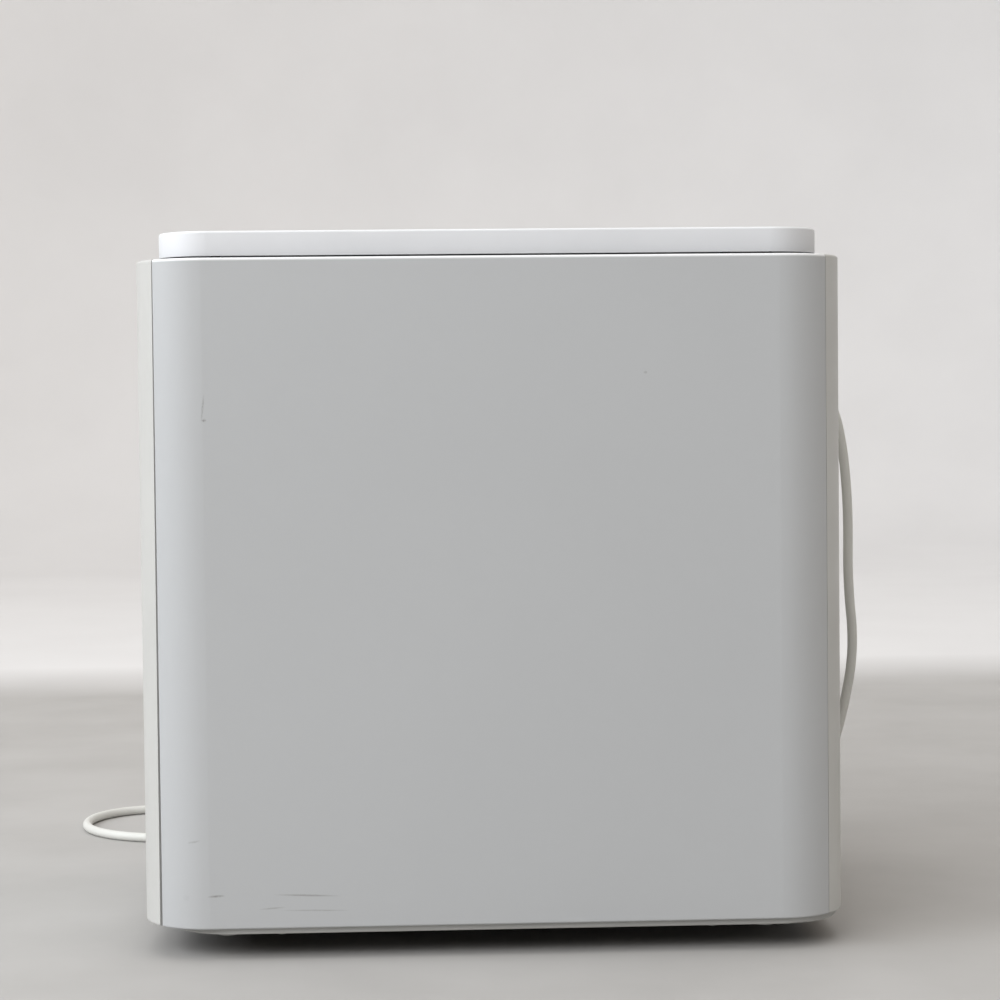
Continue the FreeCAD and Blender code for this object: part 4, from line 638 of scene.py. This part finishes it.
def worked_steel(name, colour, roughness, scale):
    """Machined steel: fine tool marks drawn out along one way, with oil smears over them."""
    finish, tree, shader, place = new_finish(name, roughness, 1.0)
    marks = noise(tree, drawn_out(tree, place, scale), 700.0)
    smear = noise(tree, place, 55.0, 4.0)
    colour_by(tree, shader, smear, darker(colour, 0.72), colour)
    gloss_by(tree, shader, smear, roughness - 0.12, roughness + 0.12)
    emboss(tree, shader, marks, 0.00003)
    return finish


bush_bronze = sintered("bush_bronze", (0.62, 0.42, 0.20))
gear_steel = worked_steel("blackened_gear_steel", (0.17, 0.17, 0.18), 0.38, (1, 1, 0.2))
shaft_steel = worked_steel("ground_shaft_steel", (0.52, 0.52, 0.53), 0.28, (0.1, 0.1, 1))
dress(bush_bronze, "shaft_bushes", "power_nuts")
dress(gear_steel, "drive_gear", "sprocket_left", "sprocket_right", "drive_sprocket")
dress(shaft_steel, "drive_shaft", "motor_pinion")

chain_pitch = 0.008
sprocket_teeth = 9
sprocket_radius = chain_pitch / (2 * math.sin(math.pi / sprocket_teeth))
tooth_step = 2 * math.pi / sprocket_teeth
chain_low, chain_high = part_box("drive_chain")
chain_z = (chain_low.z + chain_high.z) / 2
screw_low, screw_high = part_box("power_screw_right")
screw_middle = (screw_low + screw_high) / 2
shaft_low, shaft_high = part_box("drive_shaft")
shaft_middle = (shaft_low + shaft_high) / 2
chain_corners = [
    Vector((-screw_middle.x, screw_middle.y)), Vector((screw_middle.x, screw_middle.y)), shaft_middle.xy,
]


def on_wheel(centre, angle):
    """A point on a sprocket's pitch circle."""
    return centre + sprocket_radius * Vector((math.cos(angle), math.sin(angle)))


def run_out(index):
    """The outward normal of the chain's run that arrives at a corner."""
    along = (chain_corners[index] - chain_corners[index - 1]).normalized()
    return Vector((along.y, -along.x))


chain_pins = []
for corner in range(3):
    centre = chain_corners[corner]
    meets = run_out(corner)
    leaves = run_out((corner + 1) % 3)
    meet_angle = math.atan2(meets.y, meets.x)
    wrap = (math.atan2(leaves.y, leaves.x) - meet_angle) % (2 * math.pi)
    seated = int(wrap / tooth_step)
    for k in range(seated + 1):
        chain_pins.append(on_wheel(centre, meet_angle + k * tooth_step))
    leave_point = centre + leaves * sprocket_radius
    next_point = chain_corners[(corner + 1) % 3] + leaves * sprocket_radius
    spare = (wrap - seated * tooth_step) * sprocket_radius
    run = (next_point - leave_point).length
    links = round((run + spare) / chain_pitch)
    step = (run + spare) / links
    for k in range(1, links):
        reach = k * step - spare
        if reach < 0:
            chain_pins.append(on_wheel(centre, meet_angle + wrap + reach / sprocket_radius))
        else:
            chain_pins.append(leave_point.lerp(next_point, reach / run))


def link_plate(z_low, z_high, radius):
    """One side plate: a disc drawn out to reach from pin to pin."""
    deselect()
    bpy.ops.mesh.primitive_cylinder_add(
        vertices=12, radius=radius, depth=z_high - z_low, location=(0, 0, (z_low + z_high) / 2)
    )
    plate = bpy.context.object
    bake_place(plate)
    bpy.ops.object.mode_set(mode="EDIT")
    pick("VERT", lambda vert: vert.co.x > radius * 0.1)
    bpy.ops.transform.translate(value=(chain_pitch, 0, 0))
    bpy.ops.object.mode_set(mode="OBJECT")
    return plate


plate_radius = 0.0033
plate_sheet = 0.0009
outer_face = 0.0028
inner_face = 0.0018
roller_radius = 0.0023


def link_parts(face):
    """Two side plates, their inner faces that far off the middle, and a roller at one end."""
    return [
        link_plate(face, face + plate_sheet, plate_radius),
        link_plate(-face - plate_sheet, -face, plate_radius),
        turned("roller", [(-inner_face, roller_radius), (inner_face, roller_radius)], sides=12),
    ]


link_pin = turned(
    "link_pin", [(-0.0041, 0.0010), (-0.0039, 0.0013), (0.0039, 0.0013), (0.0041, 0.0010)], sides=8,
)
outer_link = joined("outer_link", link_parts(outer_face) + [link_pin])
inner_link = joined("inner_link", link_parts(inner_face))
chain_links = []
for k, pin in enumerate(chain_pins):
    toward = chain_pins[(k + 1) % len(chain_pins)] - pin
    pattern = (outer_link, inner_link)[k % 2]
    chain_links.append(copied(pattern, (pin.x, pin.y, chain_z), math.atan2(toward.y, toward.x)))
for pattern in (outer_link, inner_link):
    bpy.data.objects.remove(pattern)
fit(joined("roller_chain", chain_links), gear_steel, "chassis", "gear_steel", "drive_chain")


# ---- Power screws ------------------------------
# Rolled steel screws with a three-start trapezoidal thread, 15 mm of travel a turn, and a plain
# journal at each end.  The sprockets turn them and the beam's bronze nuts climb them.
screw_crest = 0.0070
screw_root = 0.0056
screw_starts = 3
screw_lead = 0.015
journal_radius = 0.0050
journal_chamfer = 0.0006
deck_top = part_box("drive_deck")[1].z
bulkhead_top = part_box("bulkhead")[1].z
thread_low = deck_top + 0.004
thread_high = bulkhead_top - 0.012
thread_length = thread_high - thread_low
thread_points = 36
start_angle = 2 * math.pi / screw_starts
crest_share = 0.46
root_scale = screw_root / screw_crest
lower_journal = thread_low - screw_low.z
upper_journal = screw_high.z - thread_high
rolled_steel = worked_steel("rolled_screw_steel", (0.44, 0.44, 0.45), 0.30, (1, 1, 0.3))
for side, hand in ((-1, "left"), (1, "right")):
    deselect()
    bpy.ops.mesh.primitive_circle_add(vertices=thread_points, radius=screw_crest, location=(0, 0, 0))
    thread = bpy.context.object
    bpy.ops.object.mode_set(mode="EDIT")
    pick("VERT", lambda vert: math.atan2(vert.co.y, vert.co.x) % start_angle > start_angle * crest_share)
    bpy.ops.transform.resize(value=(root_scale, root_scale, 1), center_override=(0, 0, 0))
    bpy.ops.object.mode_set(mode="OBJECT")
    winding = thread.modifiers.new("winding", "SCREW")
    winding.angle = 2 * math.pi * thread_length / screw_lead
    winding.screw_offset = thread_length
    winding.steps = int(thread_points * thread_length / screw_lead)
    winding.render_steps = winding.steps
    bpy.ops.object.modifier_apply(modifier=winding.name)
    bpy.ops.object.mode_set(mode="EDIT")
    pick("EDGE", lambda edge: len(edge.link_faces) == 1 and edge.verts[0].co.z < thread_length / 2)
    bpy.ops.mesh.edge_face_add()
    pick("EDGE", lambda edge: len(edge.link_faces) == 1)
    bpy.ops.mesh.edge_face_add()
    bpy.ops.mesh.select_all(action="SELECT")
    bpy.ops.mesh.normals_make_consistent(inside=False)
    bpy.ops.object.mode_set(mode="OBJECT")
    screw_x = side * screw_middle.x
    thread.location = (screw_x, screw_middle.y, thread_low)
    bake_place(thread)
    journals = [
        turned("lower_journal", [
            (0, journal_radius - journal_chamfer), (journal_chamfer, journal_radius),
            (lower_journal, journal_radius), (lower_journal + 0.0004, screw_root),
        ], base=(screw_x, screw_middle.y, screw_low.z)),
        turned("upper_journal", [
            (-0.0004, screw_root), (0, journal_radius),
            (upper_journal - journal_chamfer, journal_radius),
            (upper_journal, journal_radius - journal_chamfer),
        ], base=(screw_x, screw_middle.y, thread_high)),
    ]
    power_screw = joined("threaded_screw_" + hand, [thread] + journals)
    fit(power_screw, rolled_steel, "screw_" + hand, "screw_steel", "power_screw_" + hand)


# ---- Motor, its fan and its fixings ------------
# A capacitor-run motor: dark enamelled die-cast end bells clamp a stack of bare steel laminations
# with four through bolts, and a black nylon fan is pressed onto the shaft's upper end.
motor_low, motor_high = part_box("motor")
motor_middle = (motor_low + motor_high) / 2
motor_radius = (motor_high.x - motor_low.x) / 2
stack_half = 0.0365
motor_finish, tree, shader, place = new_finish("motor_enamel_and_laminations", 0.45)
off_middle = tree.nodes.new("ShaderNodeMath")
off_middle.operation = "SUBTRACT"
off_middle.inputs[1].default_value = motor_middle.z
tree.links.new(axis_of(tree, place, "Z"), off_middle.inputs[0])
distance = tree.nodes.new("ShaderNodeMath")
distance.operation = "ABSOLUTE"
tree.links.new(off_middle.outputs[0], distance.inputs[0])
bell_share = level(tree, distance.outputs[0], 0.0, 1.0, stack_half, stack_half + 0.0003)
laminations = tree.nodes.new("ShaderNodeTexWave")
laminations.bands_direction = "Z"
laminations.inputs["Scale"].default_value = 320.0
tree.links.new(place, laminations.inputs["Vector"])
stack_tone = tone(tree, laminations.outputs["Fac"], (0.13, 0.12, 0.115), (0.40, 0.39, 0.37), 0.2, 0.8)
enamel_tone = tone(tree, noise(tree, place, 70.0), (0.018, 0.020, 0.024), (0.032, 0.035, 0.041))
tree.links.new(laid_over(tree, bell_share, stack_tone, enamel_tone), shader.inputs["Base Color"])
tree.links.new(level(tree, bell_share, 0.9, 0.0, 0.0, 1.0), shader.inputs["Metallic"])
emboss(tree, shader, noise(tree, place, 500.0), 0.00015, 0.7)
dress(motor_finish, "motor")
dress(moulding("fan_nylon", (0.030, 0.030, 0.033), 0.42, 0.0009, 0.00003), "motor_fan")


def zinc_plated(name, colour):
    """Bright zinc plate with a faint yellow passivation that pools in patches."""
    finish, tree, shader, place = new_finish(name, 0.30, 1.0)
    film = noise(tree, place, 260.0, 3.0)
    warm = (colour[0], colour[1] * 0.95, colour[2] * 0.80)
    colour_by(tree, shader, film, warm, colour)
    gloss_by(tree, shader, film, 0.24, 0.42)
    emboss(tree, shader, noise(tree, place, 1800.0), 0.00002)
    return finish


screw_zinc = zinc_plated("screw_zinc", (0.62, 0.62, 0.60))
dress(screw_zinc, "case_screws", "hinge_pins")


def hex_head(name, base, axis, across, height, washer):
    """A chamfered hexagon head, that far across its corners, on a washer of that radius."""
    washer_t = 0.0008
    head = turned(name, [
        (washer_t, across / 2), (washer_t + height * 0.78, across / 2), (washer_t + height, across * 0.41),
    ], sides=6, base=base, axis=axis)
    plate = turned(name + "_washer", [
        (0, washer), (washer_t * 0.7, washer), (washer_t, washer - 0.0003),
    ], sides=32, base=base, axis=axis)
    return joined(name, [head, plate])


bolt_ring = motor_radius + 0.0022
bolt_low = motor_low.z + 0.0045
bolt_high = motor_high.z - 0.0085
lug_radius = 0.0042
lug_length = 0.011
lug_inset = 0.002
motor_bolts = []
for k in range(4):
    angle = math.pi / 4 + k * math.pi / 2
    at = motor_middle + bolt_ring * Vector((math.cos(angle), math.sin(angle), 0))
    at.z = 0
    motor_bolts.append(turned("through_bolt", [(bolt_low, 0.0016), (bolt_high, 0.0016)], sides=16, base=at))
    for lug_low in (bolt_low + lug_inset, bolt_high - lug_inset - lug_length):
        lug_high = lug_low + lug_length
        motor_bolts.append(turned("lug", [
            (lug_low, lug_radius - 0.0006), (lug_low + 0.001, lug_radius),
            (lug_high - 0.001, lug_radius), (lug_high, lug_radius - 0.0006),
        ], sides=20, base=at))
    head_base = at + Vector((0, 0, bolt_high - lug_inset))
    motor_bolts.append(hex_head("bolt_head", head_base, (0, 0, 1), 0.0062, 0.0026, 0.0036))
fit(joined("motor_through_bolts", motor_bolts), screw_zinc, "chassis", "screw_zinc")

plate_low, plate_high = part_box("motor_plate")
post_inset = 0.007
plate_nuts = []
for x in (plate_low.x + post_inset, plate_high.x - post_inset):
    for y in (plate_low.y + post_inset, plate_high.y - post_inset):
        plate_nuts.append(hex_head("nut", (x, y, plate_high.z), (0, 0, 1), 0.0080, 0.0036, 0.0052))
fit(joined("motor_plate_nuts", plate_nuts), screw_zinc, "chassis", "screw_zinc")


# ---- Capacitor, terminals and wiring -----------
# The run capacitor is a drawn aluminium can with crimped tabs.  Cream phenolic terminals hold eight
# brass clamp screws, and black braided sleeves, tied with nylon, carry the wires down to the motor.
can_finish, tree, shader, place = new_finish("capacitor_aluminium", 0.34, 1.0)
draw_marks = noise(tree, drawn_out(tree, place, (1, 1, 0.06)), 900.0)
colour_by(tree, shader, draw_marks, (0.52, 0.52, 0.53), (0.72, 0.72, 0.73))
emboss(tree, shader, draw_marks, 0.00004)
dress(can_finish, "capacitor")
dress(moulding("terminal_phenolic", (0.66, 0.58, 0.42), 0.30, 0.0030, 0.00002), "terminal_block")

block_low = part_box("terminal_block")[0]
brass, tree, shader, place = new_finish("clamp_brass", 0.30, 1.0)
tarnish = noise(tree, place, 420.0)
colour_by(tree, shader, tarnish, (0.46, 0.30, 0.10), (0.72, 0.53, 0.22))
clamp = turned("clamp", [(0, 0.0029), (0.0022, 0.0029), (0.0028, 0.0024)], sides=28, axis=(0, 1, 0))
carve(clamp, boxed("driver_slot", (-0.0040, 0.0018, -0.0004), (0.0040, 0.0040, 0.0004), 0.00005))
clamp_inset = 0.006
clamp_pitch = 0.012
row_pitch = 0.010
first_clamp = block_low + Vector((clamp_inset, clamp_inset, clamp_inset))
clamps = []
for column in range(4):
    for row in range(2):
        clamps.append(copied(clamp, first_clamp + Vector((clamp_pitch * column, 0, row_pitch * row))))
bpy.data.objects.remove(clamp)
fit(joined("terminal_clamps", clamps), brass, "chassis", "bronze")

sleeving, tree, shader, place = new_finish("braided_sleeving", 0.62)
for turn in (0.8, -0.8):
    crossed = tree.nodes.new("ShaderNodeMapping")
    crossed.inputs["Rotation"].default_value = (turn, turn * 0.5, 0)
    tree.links.new(place, crossed.inputs["Vector"])
    strands = tree.nodes.new("ShaderNodeTexWave")
    strands.inputs["Scale"].default_value = 380.0
    strands.bands_direction = "Z"
    tree.links.new(crossed.outputs["Vector"], strands.inputs["Vector"])
    emboss(tree, shader, strands.outputs["Fac"], 0.0003, 0.7)
colour_by(tree, shader, noise(tree, place, 90.0), (0.014, 0.014, 0.015), (0.032, 0.032, 0.034))
dress(sleeving, "wiring_loom")

tie_nylon = moulding("tie_nylon", (0.60, 0.60, 0.56), 0.35, 0.0010, 0.00001)
band_wall = 0.0009
band_width = 0.0026
loom_ties = []
for tie_place, tie_aim, tie_radius in (
    ((-0.070, 0.1815, 0.3945), (0, 1, 0.1), 0.0034),
    ((-0.0650, 0.1310, 0.2470), (0.22, -0.09, 0.97), 0.0028),
    ((-0.0792, 0.1385, 0.2060), (0.33, -0.17, 0.93), 0.0028),
):
    band_radius = tie_radius + band_wall
    band = turned("band", [
        (0, tie_radius), (0, band_radius), (band_width, band_radius),
        (band_width, tie_radius), (0, tie_radius),
    ], sides=32, base=tie_place, axis=tie_aim, closed=True)
    lock_low = Vector(tie_place) + Vector((tie_radius + 0.0002, -0.0022, -0.0004))
    lock = boxed("lock", lock_low, lock_low + Vector((0.0030, 0.0044, 0.0036)), 0.0004)
    loom_ties += [band, lock]
fit(joined("loom_ties", loom_ties), tie_nylon, "chassis", "acetal")


# ---- Ram ---------------------------------------
# A welded platen, legs and box beam in dark hammered paint.  Bronze nuts are pressed into the beam
# over the screws, and natural acetal shoes at its ends slide on the side frames.
hammered, tree, shader, place = new_finish("hammered_paint", 0.34)
dimples = tree.nodes.new("ShaderNodeTexVoronoi")
dimples.feature = "SMOOTH_F1"
dimples.inputs["Scale"].default_value = 260.0
tree.links.new(place, dimples.inputs["Vector"])
dimple = dimples.outputs["Distance"]
colour_by(tree, shader, dimple, (0.045, 0.048, 0.053), (0.090, 0.095, 0.103), 0.1, 0.7)
gloss_by(tree, shader, noise(tree, place, 30.0, 5.0), 0.28, 0.44)
shader.inputs["Coat Weight"].default_value = 0.25
emboss(tree, shader, dimple, 0.0006, 0.8)
dress(hammered, "ram_platen", "ram_column", "ram_beam")
acetal, tree, shader, place = new_finish("natural_acetal", 0.32)
shader.inputs["Subsurface Weight"].default_value = 0.25
shader.inputs["Subsurface Scale"].default_value = 0.004
colour_by(tree, shader, noise(tree, place, 40.0), (0.68, 0.67, 0.60), (0.76, 0.75, 0.70))
emboss(tree, shader, noise(tree, place, 800.0), 0.00002)
dress(acetal, "guide_shoes")


# ---- Drawer: slides, bin and bag ring ----------
# Three-part zinc-plated slides carry the tray that the bin stands in.  The bin is a thick dark grey
# moulding, scuffed by use, and a satin black ring clips the bag's edge over its rim.
slide_zinc = worked_steel("slide_zinc", (0.58, 0.59, 0.60), 0.30, (1, 0.05, 1))
dress(slide_zinc, "slide_rails", "slide_middles", "slide_runners")

bin_finish, tree, shader, place = new_finish("scuffed_bin", 0.48)
scratches = noise(tree, drawn_out(tree, place, (1, 1, 0.035)), 420.0, 4.0)
scratch_share = level(tree, scratches, 0.0, 0.8, 0.64, 0.76)
dust = noise(tree, place, 20.0, 5.0)
dusty = tone(tree, dust, (0.085, 0.090, 0.098), (0.115, 0.120, 0.130))
tree.links.new(laid_over(tree, scratch_share, dusty, (0.155, 0.160, 0.168)), shader.inputs["Base Color"])
gloss_by(tree, shader, dust, 0.42, 0.58)
emboss(tree, shader, noise(tree, place, 1100.0), 0.00005)
dress(bin_finish, "bin")
dress(moulding("ring_black", (0.020, 0.020, 0.021), 0.38, 0.0010, 0.00003), "bag_ring")


# ---- Top deck, tray and deodoriser -------------
# A mid grey moulding closes the frame under the lid.  A drop-in tray holds the roll of spare bags, and
# a slotted pale green cartridge sits in its own well.
deck_moulding = moulding("deck_moulding", (0.265, 0.272, 0.280), 0.50, 0.0011, 0.00005)
dress(deck_moulding, "top_deck", "bag_tray", "control_console", "pull_cup")
dress(moulding("deodoriser_moulding", (0.36, 0.46, 0.42), 0.45, 0.0013, 0.00004), "deodoriser")

roll_low, roll_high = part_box("bag_roll")
roll_middle = (roll_low + roll_high) / 2
roll_radius = (roll_high.z - roll_low.z) / 2
roll_core = 0.0042
film_wall = 0.00028
film_growth = roll_radius - film_wall - roll_core
film_turns = 9
film_steps = 28
film, tree, shader, place = new_finish("bag_film", 0.32)
shader.inputs["Transmission Weight"].default_value = 0.15
wrinkle = noise(tree, drawn_out(tree, place, (1, 0.12, 1)), 240.0, 4.0)
colour_by(tree, shader, wrinkle, (0.50, 0.52, 0.53), (0.64, 0.66, 0.67))
emboss(tree, shader, wrinkle, 0.0008)
deselect()
bpy.ops.mesh.primitive_grid_add(x_subdivisions=1, y_subdivisions=12, size=1)
bag_roll = bpy.context.object
bag_roll.name = "film_roll"
bag_roll.scale = (roll_core, roll_high.y - roll_low.y, 1)
bag_roll.location = (roll_middle.x + roll_core / 2, roll_middle.y, roll_middle.z)
bake_place(bag_roll)
bpy.ops.object.mode_set(mode="EDIT")
pick("VERT", lambda vert: vert.co.x < roll_middle.x + roll_core / 2)
bpy.ops.mesh.delete(type="VERT")
pick("EDGE", lambda edge: True)
before = Vector((roll_core, 0))
for step in range(1, film_turns * film_steps + 1):
    turn = step / film_steps
    radius = roll_core + film_growth * turn / film_turns
    after = radius * Vector((math.cos(2 * math.pi * turn), math.sin(2 * math.pi * turn)))
    shift = after - before
    bpy.ops.mesh.extrude_edges_move(TRANSFORM_OT_translate={"value": (shift.x, 0, shift.y)})
    before = after
bpy.ops.mesh.extrude_edges_move(TRANSFORM_OT_translate={"value": (0.0008, 0, 0.0040)})
bpy.ops.mesh.extrude_edges_move(TRANSFORM_OT_translate={"value": (0.0022, 0, 0.0022)})
bpy.ops.object.mode_set(mode="OBJECT")
wall = bag_roll.modifiers.new("wall", "SOLIDIFY")
wall.thickness = film_wall
wall.offset = 0
bpy.ops.object.modifier_apply(modifier=wall.name)
fit(bag_roll, film, "chassis", "bag_film", "bag_roll")


# ---- Controls ----------------------------------
# Green start and red stop buttons, an amber lamp and a key switch stand in the console's top.  A
# small green circuit board below them carries the two switches and the motor's relay.
def polished(name, colour):
    """Glossy moulded plastic with hair-fine handling scratches."""
    finish, tree, shader, place = new_finish(name, 0.18)
    shader.inputs["Coat Weight"].default_value = 0.4
    haze = noise(tree, place, 350.0, 5.0)
    colour_by(tree, shader, haze, darker(colour, 0.88), colour)
    gloss_by(tree, shader, haze, 0.14, 0.30)
    return finish


dress(polished("start_green", (0.030, 0.32, 0.090)), "start_button")
dress(polished("stop_red", (0.52, 0.020, 0.016)), "stop_button")
amber, tree, shader, place = new_finish("lamp_amber", 0.08)
shader.inputs["Transmission Weight"].default_value = 0.85
shader.inputs["IOR"].default_value = 1.49
colour_by(tree, shader, noise(tree, place, 500.0), (0.90, 0.42, 0.05), (0.98, 0.55, 0.12))
dress(amber, "lamp_lens")
chrome, tree, shader, place = new_finish("lock_chrome", 0.12, 1.0)
wear = noise(tree, place, 700.0, 4.0)
colour_by(tree, shader, wear, (0.66, 0.66, 0.67), (0.80, 0.80, 0.81))
gloss_by(tree, shader, wear, 0.08, 0.24)
dress(chrome, "key_barrel", "lock_key")
board, tree, shader, place = new_finish("board_green", 0.26)
tracks = tree.nodes.new("ShaderNodeTexBrick")
tracks.inputs["Scale"].default_value = 90.0
tracks.inputs["Mortar Size"].default_value = 0.06
tracks.inputs["Color1"].default_value = (0.010, 0.085, 0.035, 1)
tracks.inputs["Color2"].default_value = (0.014, 0.105, 0.045, 1)
tracks.inputs["Mortar"].default_value = (0.045, 0.190, 0.085, 1)
tree.links.new(place, tracks.inputs["Vector"])
tree.links.new(tracks.outputs["Color"], shader.inputs["Base Color"])
emboss(tree, shader, tracks.outputs["Fac"], 0.00004)
dress(board, "control_board")


# ---- Cabinet skins -----------------------------
# Two side panels of powder-coated sheet wrap half-way round the corners.  The drawer front and rear
# cover are warmer white mouldings that meet them at narrow seams, the front one a little askew.
panel_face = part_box("side_panel_right")[1].x
panel_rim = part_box("side_panel_right")[1].z


def powder_coat(name, colour, scuffs=()):
    """Satin powder coat with a painted near-white highlight along the rim; a scuff is (y, z, length, width,
    tilt, depth).
    """
    finish, tree, shader, place = new_finish(name, 0.46)
    cloud = noise(tree, place, 5.0, 4.0)
    # Painted highlight: the top of the rim turns near-white, where its rounded edge would catch the light.
    rim_highlight_share = level(tree, axis_of(tree, place, "Z"), 0.0, 1.0, panel_rim - 0.0022, panel_rim - 0.0008)
    satin = tone(tree, cloud, darker(colour, 0.975), colour)
    painted = laid_over(tree, rim_highlight_share, satin, (0.86, 0.87, 0.88))
    broken = noise(tree, place, 1500.0)
    for y, z, length, width, tilt, depth in scuffs:
        local = tree.nodes.new("ShaderNodeMapping")
        local.vector_type = "TEXTURE"
        local.inputs["Location"].default_value = (panel_face, y, z)
        local.inputs["Rotation"].default_value = (tilt, 0, 0)
        local.inputs["Scale"].default_value = (0.004, length / 2, width / 2)
        tree.links.new(place, local.inputs["Vector"])
        spread = tree.nodes.new("ShaderNodeVectorMath")
        spread.operation = "LENGTH"
        tree.links.new(local.outputs["Vector"], spread.inputs[0])
        inside = level(tree, spread.outputs["Value"], 1.0, 0.0, 0.35, 1.0)
        rubbed_share = product(tree, inside, level(tree, broken, depth * 0.25, depth, 0.42, 0.58))
        painted = laid_over(tree, rubbed_share, painted, (0.16, 0.15, 0.14))
    tree.links.new(painted, shader.inputs["Base Color"])
    gloss_by(tree, shader, cloud, 0.50, 0.42)
    emboss(tree, shader, noise(tree, place, 420.0, 2.0), 0.00005)
    emboss(tree, shader, noise(tree, place, 1900.0, 2.0), 0.00002)
    return finish


panel_scuffs = (
    (-0.1810, 0.3475, 0.0200, 0.0016, math.radians(84), 0.50),
    (-0.1802, 0.3398, 0.0032, 0.0026, 0.0, 0.75),
    (-0.1910, 0.0755, 0.0100, 0.0018, math.radians(12), 0.50),
    (-0.1970, 0.0400, 0.0080, 0.0070, 0.0, 0.26),
    (-0.1770, 0.0412, 0.0120, 0.0018, math.radians(3), 0.80),
    (-0.1200, 0.0408, 0.0440, 0.0016, math.radians(-2), 0.70),
    (-0.1420, 0.0330, 0.0180, 0.0013, math.radians(4), 0.50),
    (-0.1150, 0.0312, 0.0480, 0.0013, math.radians(-1), 0.45),
    (0.0960, 0.3670, 0.0028, 0.0022, 0.0, 0.45),
)
panel_white = (0.500, 0.510, 0.518)
dress(powder_coat("side_powder_coat", panel_white), "side_panel_left")
dress(powder_coat("side_powder_coat_scuffed", panel_white, panel_scuffs), "side_panel_right")
shell_moulding = moulding("shell_moulding", (0.57, 0.57, 0.55), 0.44, 0.0011, 0.00003)
dress(shell_moulding, "drawer_front", "rear_cover")


# ---- Lid ---------------------------------------
# A shallow bluish white moulding, brighter than the cabinet.  It swings on two pins between ears that
# are bolted to the deck, and rests on four rubber studs, which hold its edge just off the cabinet.
dress(moulding("lid_moulding", (0.79, 0.80, 0.82), 0.50, 0.0020, 0.00002), "lid")
bracket_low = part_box("hinge_brackets")[0]
hinge_x = 0.110
bolt_offset = 0.0095
hinge_bolts = []
for side in (-1, 1):
    for offset in (-bolt_offset, bolt_offset):
        bolt_base = (side * hinge_x + offset, bracket_low.y + 0.0075, bracket_low.z + 0.002)
        hinge_bolts.append(hex_head("bolt", bolt_base, (0, 0, 1), 0.0060, 0.0024, 0.0042))
fit(joined("hinge_bolts", hinge_bolts), screw_zinc, "chassis", "screw_zinc")
